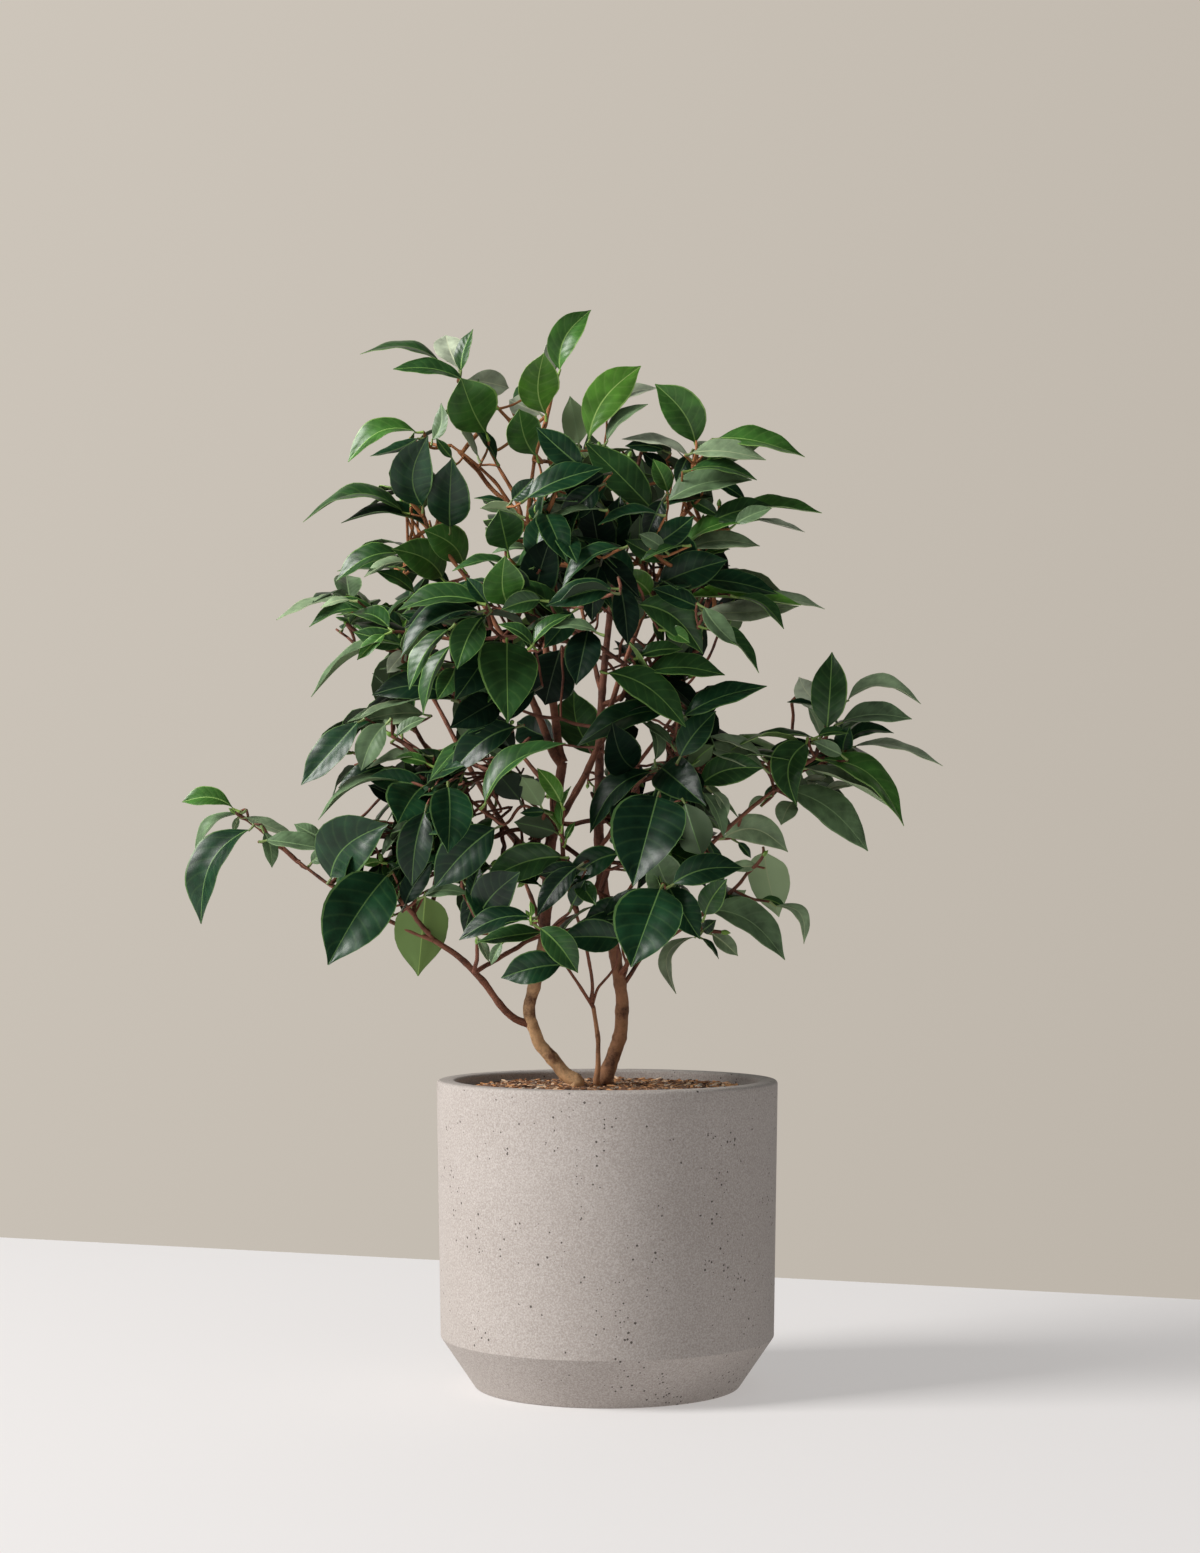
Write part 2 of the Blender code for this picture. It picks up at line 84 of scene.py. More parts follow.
def seen(px, py, depth):
    """The point at y = depth that the photograph shows at a pixel."""
    across = (px - PHOTO_WIDTH / 2) / FOCAL_PIXELS
    up = (PHOTO_HEIGHT / 2 - py) / FOCAL_PIXELS
    ray_y = math.cos(CAMERA_PITCH) - up * math.sin(CAMERA_PITCH)
    ray_z = math.sin(CAMERA_PITCH) + up * math.cos(CAMERA_PITCH)
    reach = (depth - CAMERA_PLACE.y) / ray_y
    return Vector((CAMERA_PLACE.x + across * reach, depth, CAMERA_PLACE.z + ray_z * reach))


def pixel(place):
    """The pixel of the photograph that shows a point."""
    away = place - CAMERA_PLACE
    ahead = away.y * math.cos(CAMERA_PITCH) + away.z * math.sin(CAMERA_PITCH)
    up = away.z * math.cos(CAMERA_PITCH) - away.y * math.sin(CAMERA_PITCH)
    return (PHOTO_WIDTH / 2 + FOCAL_PIXELS * away.x / ahead,
            PHOTO_HEIGHT / 2 - FOCAL_PIXELS * up / ahead)


# ---------------------------------------------------------------- limbs, read from the frame

SECTION_STEP = 0.003
SECTION_REACH = 0.022
SMOOTHING = 4
FEWEST_CUTS = 4
LARGEST_MISS = 4
END_REACH, END_SHARE = 0.012, 0.25
HEADING_REACH = 0.045


def section(corners, edges, place, ahead):
    """Centre and radius of a limb's cross-section near a place, or None past its end."""
    side = (corners - place) @ ahead
    a, b = side[edges[:, 0]], side[edges[:, 1]]
    crossing = (a < 0) != (b < 0)
    if not crossing.any():
        return None
    a, b, ends = a[crossing], b[crossing], edges[crossing]
    share = (a / (a - b))[:, None]
    cut = corners[ends[:, 0]] * (1 - share) + corners[ends[:, 1]] * share
    cut = cut[np.linalg.norm(cut - place, axis=1) < SECTION_REACH]
    if len(cut) < FEWEST_CUTS:
        return None
    centre = (cut.min(0) + cut.max(0)) / 2
    return centre, np.linalg.norm(cut - centre, axis=1).mean()


def trace(name, start, ahead):
    """Walks along a CAD limb from one end, and gives its centre line and radii."""
    mesh = frame["nodes"][name].data
    corners = np.array([v.co[:] for v in mesh.vertices])
    edges = np.array([e.vertices[:] for e in mesh.edges])
    place, ahead = np.array(start), np.array(ahead)
    line, radii = [], []
    misses = 0
    while misses < LARGEST_MISS:
        found = section(corners, edges, place + ahead * SECTION_STEP, ahead)
        if found is None:
            misses += 1
            place = place + ahead * SECTION_STEP
            continue
        misses = 0
        place, radius = found
        if line:
            ahead = place - np.array(line[max(0, len(line) - SMOOTHING)])
            ahead = ahead / np.linalg.norm(ahead)
        line.append(Vector(place))
        radii.append(radius)
    return line, radii


def far_ends(name):
    """The middle of each end of a CAD limb, with the direction in which the limb leaves it."""
    corners = np.array([v.co[:] for v in frame["nodes"][name].data.vertices])
    apart = np.linalg.norm(corners[:, None] - corners[None], axis=2)
    ends = np.unravel_index(apart.argmax(), apart.shape)
    reach = min(END_REACH, apart.max() * END_SHARE)
    found = []
    for end in ends:
        near = corners[apart[end] < reach]
        middle = (near.min(0) + near.max(0)) / 2
        beyond = corners[(apart[end] > reach) & (apart[end] < HEADING_REACH)].mean(0)
        found.append((Vector(middle), Vector(beyond - middle).normalized()))
    return found


Limb = namedtuple("Limb", "name parent line radii")


def closest(place, limbs):
    """(distance, limb, point) of the nearest centre line."""
    return min(((place - p).length, limb.name, p) for limb in limbs for p in limb.line)


def read_limbs():
    """Every stem and bough of the frame as a centre line with radii, parents first."""
    limbs = {}
    for name in sorted(n for n in frame["nodes"] if n.startswith("stem_")):
        foot, ahead = min(far_ends(name), key=lambda end: end[0].z)
        line, radii = trace(name, foot, ahead)
        limbs[name] = Limb(name, None, line, radii)
    left = {n: far_ends(n) for n in frame["nodes"] if n.startswith("bough_")}
    while left:
        options = [(*closest(end[0], limbs.values()), name, end) for name in left for end in left[name]]
        _, parent, joint, name, end = min(options, key=lambda option: option[0])
        line, radii = trace(name, *end)
        limbs[name] = Limb(name, parent, [joint, *line], [radii[0], *radii])
        del left[name]
    return limbs


limbs = read_limbs()

# ---------------------------------------------------------------- the leaves that the photograph shows

Seen = namedtuple("Seen", "foot_x foot_y tip_x tip_y wide near tone bow belly", defaults=(None, 1))
# The deep tone is painted shade: near-black green for fill leaves in the crown's core and for shown leaves
# that look darkest.
DEEP_SHADE, DIM, DARK, MID, GREEN, BRIGHT = "deep", "dim", "dark", "mid", "green", "bright"
# The sage, pale and mist tones are painted sheen: leaf tops paled to stand for glossy reflections of the pale
# backdrop, and mist, the palest, paints light onto leaves that stand in shade.
SAGE_SHEEN, PALE_SHEEN, MIST_SHEEN = "sage", "pale", "mist"

# Foot and tip in pixels of the photograph. wide is how many pixels the blade measures across, below
# zero where its underside shows. near is how far forward in its mass the leaf sits, 1 at the front.
# bow, where it is given, is how many pixels the middle of the blade stands off the straight line
# from foot to tip: above it on a leaf that runs across, to the left on one that runs up or down.
# belly, where it is given, is above 1 on a blade that is widest near its tip.
LEAVES = {
    "mass_top": (
        (560, 370, 591, 310, 30, 0.3, GREEN, 10), (546, 414, 544, 353, 42, 0.8, BRIGHT, 7, 1.3),
        (548, 378, 546, 344, 12, -0.3, MIST_SHEEN), (537, 456, 519, 409, 38, 0.8, GREEN, 5, 1.6),
        (541, 414, 509, 400, 24, -0.2, MIST_SHEEN)),
    "mass_top_left": (
        (461, 371, 473, 329, 14, 0.1, MID, 3),
        (439, 361, 360, 354, 9, 0.2, MID, 11), (463, 380, 393, 369, 16, 0.5, MID, 6),
        (459, 369, 446, 335, 30, 0.0, MIST_SHEEN, 2, 1.4), (466, 380, 509, 388, 26, -0.3, MIST_SHEEN, 1, 1.3),
        (487, 434, 461, 378, 54, 0.8, GREEN, 3, 1.6), (478, 456, 448, 404, 7, 0.3, MIST_SHEEN, 0),
        (496, 459, 473, 425, 11, 0.0, DARK)),
    "mass_left_top": (
        (416, 432, 348, 462, 20, 0.3, GREEN, 14), (418, 438, 370, 456, 9, 0.0, DARK, -3),
        (432, 440, 441, 403, 14, -0.2, SAGE_SHEEN, -5), (423, 506, 428, 436, 44, 0.4, DARK, 12),
        (450, 527, 452, 458, 44, 0.5, DARK), (403, 512, 303, 522, 13, 0.2, MID, 22),
        (430, 529, 341, 523, 12, 0.3, DARK, 13), (452, 458, 436, 438, 10, 0.1, MID)),
    "mass_top_right": (
        (689, 455, 676, 484, 15, 0.2, DARK), (668, 472, 642, 452, 16, 0.1, DEEP_SHADE),
        (579, 444, 570, 396, -28, 0.0, SAGE_SHEEN), (589, 440, 641, 366, 39, 0.5, BRIGHT, 11, 1.2),
        (612, 410, 657, 388, 13, 0.1, MIST_SHEEN, 7), (607, 441, 648, 404, 12, 0.3, SAGE_SHEEN, 7),
        (695, 443, 655, 384, 40, 0.5, GREEN, -7), (690, 458, 622, 439, 10, 0.6, MIST_SHEEN, 7),
        (668, 492, 653, 459, 20, 0.9, GREEN), (652, 509, 585, 442, 36, 1.0, MID),
        (664, 450, 625, 446, 14, 0.2, DARK)),
    "mass_right_top": (
        (719, 438, 805, 457, 19, 0.0, GREEN, 4), (692, 453, 766, 460, 19, 0.5, PALE_SHEEN, 4),
        (705, 463, 744, 455, 8, 0.2, BRIGHT), (668, 501, 752, 480, 24, 0.8, SAGE_SHEEN, 8),
        (690, 470, 757, 480, 12, 0.5, MID), (662, 505, 713, 497, 10, 0.6, DIM),
        (690, 500, 719, 516, 14, 0.2, MID), (715, 482, 746, 500, 12, -0.2, DARK),
        (711, 522, 773, 506, 24, 0.3, MID), (738, 506, 822, 513, 12, 0.0, GREEN, 2),
        (735, 524, 772, 508, 15, 0.5, SAGE_SHEEN), (755, 519, 805, 532, 5, -0.3, MIST_SHEEN, 0),
        (682, 548, 760, 520, 16, 0.7, GREEN, 10), (690, 548, 760, 546, 19, 0.6, PALE_SHEEN, 6),
        (703, 556, 730, 549, 8, 0.4, GREEN)),
    "mass_upper_front": (
        (598, 486, 558, 520, 28, 0.4, DIM), (604, 474, 566, 496, 22, 0.2, DEEP_SHADE),
        (583, 468, 536, 427, 30, 0.6, DARK), (527, 498, 603, 468, 26, 0.6, DARK),
        (566, 508, 531, 524, 20, 0.2, PALE_SHEEN), (600, 509, 546, 522, 7, 0.6, SAGE_SHEEN, 3),
        (508, 551, 499, 510, 41, 0.5, MID, 0, 1.8), (528, 549, 492, 553, 8, 0.0, SAGE_SHEEN),
        (512, 566, 452, 571, 9, 0.1, MID, 7), (518, 514, 480, 508, -12, 0.0, PALE_SHEEN),
        (508, 507, 474, 498, 6, -0.2, DARK), (535, 600, 552, 534, 40, 1.0, DEEP_SHADE),
        (532, 560, 574, 508, 34, 0.1, DARK), (512, 500, 534, 478, 18, 0.2, DARK)),
    "mass_right_upper": (
        (664, 549, 639, 534, 16, 0.95, SAGE_SHEEN),
        (658, 514, 598, 525, 10, 0.9, DARK), (655, 545, 694, 516, 26, 0.9, DARK),
        (640, 556, 640, 515, -22, 0.5, DARK), (600, 560, 590, 500, 40, 0.3, DEEP_SHADE),
        (618, 560, 620, 496, 34, 0.2, DIM), (658, 585, 728, 560, 38, 1.0, DARK),
        (650, 594, 619, 573, 24, 1.0, BRIGHT, 3), (683, 545, 640, 561, 9, 0.9, MID, 2),
        (665, 560, 625, 540, 20, 0.6, MID), (597, 545, 563, 535, 26, 0.7, MID),
        (600, 500, 575, 470, 30, 0.2, DARK), (662, 500, 645, 540, 22, 0.4, DIM)),
    "mass_right_shoulder": (
        (700, 580, 778, 594, 22, 0.5, DARK, 3), (738, 597, 784, 629, 12, 0.7, MID, 8),
        (686, 597, 801, 605, 17, 0.5, BRIGHT, 2), (757, 604, 825, 609, 12, 0.0, PALE_SHEEN, 6),
        (704, 611, 799, 606, 20, 0.1, MIST_SHEEN, -4)),
    "mass_left_shoulder": (
        (408, 562, 364, 577, 10, 0.1, PALE_SHEEN, 5),
        (402, 554, 336, 581, 19, 0.3, MID, 9), (442, 578, 392, 549, 38, 1.0, GREEN, 8),
        (463, 568, 424, 530, 36, 1.1, GREEN, 9, 1.3), (398, 567, 337, 571, 8, -0.1, MID, 1),
        (450, 583, 402, 567, 16, 0.3, DIM), (414, 593, 376, 571, 14, 0.3, MID, 4),
        (350, 601, 346, 575, 28, -0.2, SAGE_SHEEN), (350, 600, 276, 620, 8, 0.2, PALE_SHEEN, 6),
        (350, 600, 320, 608, 7, 0.6, PALE_SHEEN), (380, 620, 309, 627, 15, 0.4, MID, 14),
        (403, 628, 372, 604, 16, 0.5, DARK), (390, 628, 349, 625, 8, 0.0, SAGE_SHEEN)),
    "mass_left_front": (
        (478, 602, 398, 610, 21, 0.9, MID, 8), (478, 611, 400, 659, 17, 0.9, DARK, 14),
        (449, 629, 409, 690, 18, 0.8, MID, 6), (481, 618, 457, 669, 34, 1.0, MID, 3),
        (487, 615, 462, 662, 14, 1.0, DIM), (508, 604, 505, 556, 42, 1.0, GREEN, 4, 1.2),
        (488, 605, 466, 577, 16, 0.9, DARK), (525, 600, 500, 562, 34, 0.6, DARK),
        (450, 646, 423, 715, 15, 0.8, MID, 5), (507, 643, 508, 723, 60, 1.0, MID, 0, 0.75),
        (495, 640, 455, 700, 44, 0.3, DIM), (498, 700, 450, 728, 36, 0.2, DEEP_SHADE),
        (480, 604, 404, 628, 26, 0.3, DEEP_SHADE), (535, 690, 505, 722, 18, 0.1, DEEP_SHADE)),
    "mass_left_middle": (
        (403, 645, 353, 632, 22, 0.3, MID), (385, 634, 357, 660, 13, 0.5, GREEN),
        (415, 651, 311, 697, 6, 0.2, SAGE_SHEEN, 21), (406, 650, 387, 673, 17, -0.2, MIST_SHEEN),
        (452, 699, 372, 695, 30, 0.6, DIM, 11), (452, 700, 347, 722, 7, 0.2, SAGE_SHEEN, 8),
        (434, 672, 396, 668, 12, 0.0, MID), (455, 668, 437, 700, 24, 0.3, MID)),
    "mass_left_lower": (
        (358, 722, 301, 785, 30, 0.5, DARK, 0), (424, 714, 352, 724, 24, 0.3, PALE_SHEEN, 4),
        (386, 724, 361, 771, 28, 0.6, SAGE_SHEEN, 4), (396, 737, 426, 718, 11, 0.4, SAGE_SHEEN),
        (385, 767, 338, 788, 14, 0.2, DARK), (400, 781, 318, 820, 7, 0.5, SAGE_SHEEN, 14),
        (426, 755, 366, 769, 10, 0.3, PALE_SHEEN, 4), (427, 763, 396, 757, 12, 0.5, GREEN),
        (425, 786, 366, 778, 24, 0.7, DARK), (402, 803, 368, 785, 18, 0.2, DEEP_SHADE),
        (421, 788, 398, 823, 50, 0.9, DARK), (452, 775, 418, 749, 24, 0.4, MID),
        (381, 858, 432, 806, 9, 0.7, SAGE_SHEEN, 4)),
    "mass_left_low_front": (
        (516, 727, 450, 776, 32, 0.9, DIM, 8), (485, 803, 566, 743, 19, 1.0, MID, 15),
        (448, 787, 448, 853, 43, 1.0, DARK), (495, 828, 434, 888, 46, 0.8, DIM),
        (425, 812, 412, 886, 36, 0.4, DIM), (405, 905, 432, 862, 24, 0.1, DEEP_SHADE),
        (424, 896, 470, 894, 13, 0.0, SAGE_SHEEN, 5), (470, 895, 480, 866, 16, 0.3, DARK),
        (520, 800, 500, 775, -30, 0.3, DEEP_SHADE), (507, 757, 486, 750, 10, 0.2, SAGE_SHEEN),
        (480, 915, 520, 872, 42, 0.3, DIM), (541, 806, 522, 777, -24, 0.3, SAGE_SHEEN),
        (545, 812, 520, 813, 10, 0.3, DARK)),
    "mass_middle_front": (
        (560, 650, 545, 705, 50, -2.6, DEEP_SHADE),
        (561, 803, 537, 768, 18, 0.6, BRIGHT), (556, 832, 514, 822, -24, 0.3, DARK),
        (596, 755, 574, 692, 46, -2.6, MID, 8), (556, 740, 517, 722, 36, -2.6, DIM),
        (651, 772, 590, 833, 26, 0.8, DIM, 13), (634, 768, 612, 722, 40, 0.2, DEEP_SHADE, 6),
        (668, 711, 577, 746, 27, 0.9, DARK, 9), (650, 801, 598, 812, 12, 0.6, DARK),
        (562, 826, 571, 786, 8, 0.8, GREEN), (566, 840, 575, 822, 7, 0.8, GREEN),
        (560, 832, 541, 808, 6, 0.8, BRIGHT), (561, 857, 484, 882, 36, 1.0, MID, 6)),
    "mass_centre_front": (
        (532, 645, 498, 624, 12, 0.9, MID, 4), (533, 644, 571, 614, 12, 0.9, MID, 5),
        (620, 548, 562, 589, 15, 0.9, DARK, 9), (612, 588, 546, 606, 26, 0.6, DARK),
        (612, 592, 560, 601, -10, 0.7, DIM), (620, 585, 628, 645, 28, 0.6, DEEP_SHADE),
        (588, 630, 576, 685, 36, 0.5, DEEP_SHADE, 0), (597, 632, 545, 628, 10, 0.7, SAGE_SHEEN),
        (560, 572, 600, 588, 24, 0.0, DEEP_SHADE),
        (541, 600, 501, 610, 22, 0.6, MID, 2), (600, 566, 592, 622, 28, 0.2, DEEP_SHADE),
        (572, 612, 544, 648, 26, 0.2, DARK), (600, 556, 640, 598, 24, 0.1, DEEP_SHADE)),
    "mass_right_front": (
        (638, 605, 703, 654, 34, 1.0, MID, 11), (704, 607, 738, 646, 19, 0.6, SAGE_SHEEN, 3),
        (706, 628, 759, 673, 13, 0.4, MID, 8), (666, 630, 690, 643, 16, 0.4, GREEN),
        (640, 656, 683, 649, 15, 0.5, MID), (646, 673, 725, 675, 23, 0.6, MID, 6),
        (608, 673, 686, 727, 34, 1.0, MID, 10), (700, 608, 652, 588, 20, 0.4, DARK)),
    "mass_right_middle": (
        (684, 716, 767, 686, 23, 0.8, DARK, 5), (680, 757, 716, 711, 30, 0.9, DARK),
        (655, 760, 646, 718, 13, 0.5, SAGE_SHEEN, -6), (672, 745, 642, 722, 9, 0.4, SAGE_SHEEN),
        (762, 757, 708, 736, 10, 0.0, PALE_SHEEN, 4), (764, 768, 697, 744, 18, 0.1, PALE_SHEEN, 3),
        (700, 786, 764, 768, 32, 0.6, MID, 8), (690, 768, 714, 745, -20, 0.2, MID),
        (650, 768, 668, 769, 10, 0.6, SAGE_SHEEN), (662, 768, 706, 806, 42, 0.9, DIM, 0, 0.75),
        (703, 793, 724, 838, 14, 0.5, SAGE_SHEEN), (712, 792, 727, 818, 11, 0.2, PALE_SHEEN, -4),
        (640, 700, 686, 690, 26, 0.3, DEEP_SHADE)),
    "mass_far_right": (
        (800, 786, 826, 777, 10, -0.2, MIST_SHEEN), (806, 768, 898, 812, 9, 0.6, PALE_SHEEN, 5),
        (827, 728, 832, 652, 37, 0.5, MID), (828, 706, 799, 677, 26, 0.0, MIST_SHEEN, 6),
        (848, 700, 921, 704, 13, -0.1, PALE_SHEEN, 17), (842, 722, 912, 719, 21, 0.3, SAGE_SHEEN, 6),
        (846, 744, 894, 733, 13, 0.3, DARK, 9), (855, 746, 943, 766, 9, 0.2, PALE_SHEEN, 9),
        (822, 760, 904, 826, 25, 0.6, GREEN, 18), (822, 760, 803, 770, 7, 0.3, DARK),
        (787, 790, 868, 851, 34, 0.5, SAGE_SHEEN, 10), (826, 790, 853, 786, 8, 0.1, MIST_SHEEN),
        (820, 736, 808, 707, 11, 0.4, PALE_SHEEN), (818, 736, 850, 733, 9, 0.7, MID),
        (812, 742, 764, 758, 16, 0.5, DARK, 1),
        (843, 750, 850, 726, 20, 0.4, DARK), (806, 744, 797, 806, 36, 0.8, MID, 14, 0.7),
        (842, 755, 813, 741, 15, 0.7, SAGE_SHEEN), (812, 737, 753, 736, 7, 0.5, MID, 2),
        (816, 706, 787, 702, 5, 0.1, DARK, 1), (724, 838, 788, 852, 30, 0.4, PALE_SHEEN, 15),
        (738, 842, 751, 858, 8, 0.1, DARK), (793, 802, 781, 825, 22, 0.3, PALE_SHEEN),
        (765, 797, 748, 808, 9, 0.1, PALE_SHEEN), (765, 800, 781, 784, 10, 0.0, MID)),
    "mass_right_low_front": (
        (657, 797, 633, 886, 73, 1.0, DIM, 0, 0.85), (685, 803, 702, 856, -37, 0.4, DARK),
        (668, 887, 652, 848, 38, 0.3, SAGE_SHEEN), (673, 884, 744, 868, 30, 0.9, DARK, 7),
        (669, 887, 700, 939, 34, 0.5, DARK), (705, 915, 727, 879, 26, 0.5, MID),
        (660, 889, 631, 967, 67, 1.0, DARK)),
    "mass_right_low": (
        (765, 852, 779, 917, -42, 0.0, PALE_SHEEN, 2), (706, 910, 785, 960, 31, 0.9, SAGE_SHEEN, 14),
        (776, 906, 804, 944, 13, 0.4, PALE_SHEEN, -15), (762, 899, 786, 908, 9, 0.2, MID, 2),
        (695, 937, 676, 994, 14, 0.2, PALE_SHEEN, 21), (702, 938, 719, 959, 5, 0.5, DARK),
        (712, 934, 738, 956, 17, 0.0, PALE_SHEEN), (724, 906, 746, 890, -20, -0.1, PALE_SHEEN),
        (703, 930, 716, 920, 14, 0.5, DARK), (758, 866, 726, 868, 12, 0.0, PALE_SHEEN)),
    "mass_low_front": (
        (531, 917, 530, 901, 5, 0.95, BRIGHT),
        (530, 917, 459, 940, 23, 0.9, DIM, 8), (541, 932, 477, 942, 17, 0.8, MID, 1),
        (530, 920, 490, 931, 7, 0.95, MID), (478, 938, 489, 962, 9, 0.3, PALE_SHEEN),
        (502, 943, 491, 965, 10, 0.3, SAGE_SHEEN), (561, 965, 501, 978, 33, 0.9, DARK, 3),
        (540, 928, 578, 973, 30, 1.0, MID), (577, 867, 537, 916, 24, 0.8, DIM),
        (578, 868, 538, 875, 18, 0.6, DIM), (619, 854, 567, 885, 28, 0.8, DARK, 6),
        (578, 882, 596, 905, 20, 0.3, MID), (622, 939, 560, 938, 34, 0.6, DARK, 2),
        (632, 914, 584, 920, 26, 0.4, DARK, 6), (540, 885, 500, 882, 9, 0.2, DARK),
        (572, 905, 585, 880, 18, 0.2, DARK), (482, 885, 464, 935, 18, 0.0, DIM)),
    "mass_left_low": (
        (331, 878, 388, 824, 58, 0.5, DARK, 12), (387, 876, 328, 965, 66, 1.0, DARK, 3),
        (425, 897, 418, 976, -55, 0.1, BRIGHT), (380, 862, 363, 865, 9, 0.4, BRIGHT),
        (385, 862, 397, 888, 18, 0.3, MID)),
    "mass_far_left": (
        (266, 840, 330, 850, 17, 0.6, SAGE_SHEEN, 1),
        (233, 808, 182, 802, 19, 0.2, GREEN, 8, 1.3), (240, 814, 198, 867, 10, -0.1, SAGE_SHEEN, 16),
        (249, 830, 201, 924, 33, 0.5, DARK, 18), (238, 817, 233, 832, 7, -0.2, PALE_SHEEN),
        (264, 832, 272, 868, 15, 0.5, SAGE_SHEEN, -3), (311, 863, 333, 849, 15, 0.3, SAGE_SHEEN),
        (246, 817, 297, 838, 12, -0.1, PALE_SHEEN, 0), (322, 838, 294, 824, 16, 0.0, SAGE_SHEEN)),
}

# Twigs that show between the leaves, in pixels from root to tip, with how far forward in the mass.
SHOWN_TWIGS = (
    ("mass_top_left", 0.1, ((521, 515), (515, 497), (505, 478), (490, 450))),
    ("mass_top", 0.3, ((534, 460), (538, 445), (545, 425), (555, 386))),
    ("mass_left_lower", 0.4, ((450, 790), (440, 778), (427, 763), (412, 750), (392, 736))),
    ("mass_right_middle", 0.5, ((620, 700), (627, 680), (645, 650), (660, 620))),
    ("mass_far_right", 0.2, ((774, 789), (797, 773), (820, 762), (842, 756))),
    ("mass_right_low", 0.2, ((694, 920), (712, 909), (733, 890), (763, 856))),
    ("mass_right_low", 0.3, ((694, 921), (706, 930), (722, 932))),
    ("mass_far_left", 0.0, ((298, 862), (285, 850), (262, 830), (236, 813))),
    ("mass_low_front", 0.1, ((474, 972), (477, 960), (477, 944))),
    ("mass_low_front", 0.7, ((541, 932), (535, 925), (530, 917))),
    ("mass_middle_front", 0.5, ((577, 912), (570, 890), (565, 868), (562, 842))),
    ("mass_left_low", 0.3, ((428, 933), (404, 904), (388, 880), (382, 861))),
    ("mass_left_top", 0.3, ((428, 531), (424, 517), (414, 506), (408, 498))),
    ("mass_upper_front", 0.3, ((531, 545), (537, 530), (552, 502), (563, 478))),
)

# Parts of the photograph inside the crown where only the backdrop shows: left, top, right, bottom.
WINDOWS = (
    (492, 442, 533, 498), (545, 372, 588, 394), (594, 402, 604, 436), (452, 468, 478, 512),
    (467, 535, 490, 558), (506, 611, 534, 624), (582, 642, 600, 698), (602, 622, 622, 648),
    (562, 606, 600, 622), (641, 640, 658, 649), (429, 700, 450, 738), (541, 641, 554, 654),
    (700, 502, 718, 516), (676, 521, 698, 540), (634, 728, 660, 762), (502, 887, 538, 918),
    (581, 862, 598, 878), (480, 838, 500, 870), (566, 762, 582, 790), (566, 822, 592, 858),
    (547, 902, 578, 918), (692, 656, 712, 668), (707, 480, 795, 500), (650, 400, 680, 440),
    (610, 397, 635, 430), (545, 395, 568, 440), (370, 577, 402, 592), (520, 755, 548, 780),
    (707, 784, 755, 800), (365, 735, 403, 765), (735, 935, 785, 965), (340, 930, 395, 965),
    (481, 948, 500, 1000), (300, 990, 900, 1070), (375, 525, 412, 545), (608, 864, 626, 896),
    (722, 842, 760, 864), (355, 640, 372, 700), (800, 700, 812, 722))

# Parts of the photograph where leaves stand close behind the ones in the table, and may show.
DENSE = (
    (513, 602, 540, 660), (532, 500, 580, 570), (585, 565, 610, 620), (620, 560, 640, 602),
    (480, 612, 497, 640), (400, 600, 480, 635), (450, 693, 502, 735), (515, 700, 535, 740),
    (604, 738, 616, 770), (580, 770, 595, 822), (495, 797, 515, 815), (420, 762, 470, 795),
    (463, 880, 485, 935), (697, 743, 760, 770), (760, 745, 800, 798),
    (750, 800, 790, 846), (640, 500, 672, 540), (640, 448, 670, 464),
    (660, 583, 682, 602), (612, 640, 645, 685), (672, 678, 686, 706), (335, 580, 345, 596),
    (340, 713, 410, 735), (370, 668, 396, 700), (507, 478, 532, 498), (335, 612, 400, 632),
    (540, 600, 570, 640))

# ---------------------------------------------------------------- leaves as meshes

# root is where the stalk leaves the twig, and foot and tip are the ends of the blade.
Leaf = namedtuple("Leaf", "root foot tip normal width arch bend twist fold tone belly is_fine",
                  defaults=(1, False))
LeafPattern = namedtuple("LeafPattern", "faces kinds maps points")

STATIONS = np.array((0, 0.015, 0.04, 0.075, 0.12, 0.17, 0.225, 0.285, 0.345, 0.405, 0.465, 0.525,
                     0.585, 0.64, 0.695, 0.745, 0.79, 0.83, 0.87, 0.905, 0.935, 0.962, 0.984, 1.0))
FEWER_STATIONS = np.array((0, 0.04, 0.12, 0.225, 0.345, 0.465, 0.585, 0.695, 0.79, 0.87, 0.94, 1.0))
OUTLINE_AT = (0, 0.02, 0.06, 0.12, 0.2, 0.3, 0.42, 0.54, 0.66, 0.76, 0.84, 0.9, 0.945, 0.98, 1)
OUTLINE = (0.03, 0.09, 0.27, 0.52, 0.76, 0.93, 1, 0.985, 0.87, 0.68, 0.46, 0.27, 0.14, 0.06, 0.02)
RIB_WIDTH = 0.00072
RIB_TAPER = 0.6
RIB_ROOM = 0.6
COLUMNS = np.array((-1, -0.72, -0.38, -0.04, 0.04, 0.38, 0.72, 1))
RIB_COLUMNS = (3, 4)
HALF_RING = len(COLUMNS)
RING = 2 * HALF_RING
THICKNESS = 0.0004
GROOVE = 0.0003
RIDGE = 0.0005
GROOVE_FADE = 2
TOOTH = 0.006
RECURVE = 0.12
ARCH_LEAN = 0.85
WAVES = 2.5
WAVE_SHARE = 0.05
WAVE_SHIFT = 20
STALK_SIDES = 6
STALK_RINGS = 4
STALK_RADIUS = 0.0011
STALK_SWELL = 1.35
STALK_TIP = 0.8
STALK_SAG = 0.12
LEAF_SHARP = math.radians(60)
OFF_NORMAL = 0.01
SMALLEST = 1e-9

TOP, BELOW, RIB, STALK = range(4)
PARTS_OF_LEAF = 4


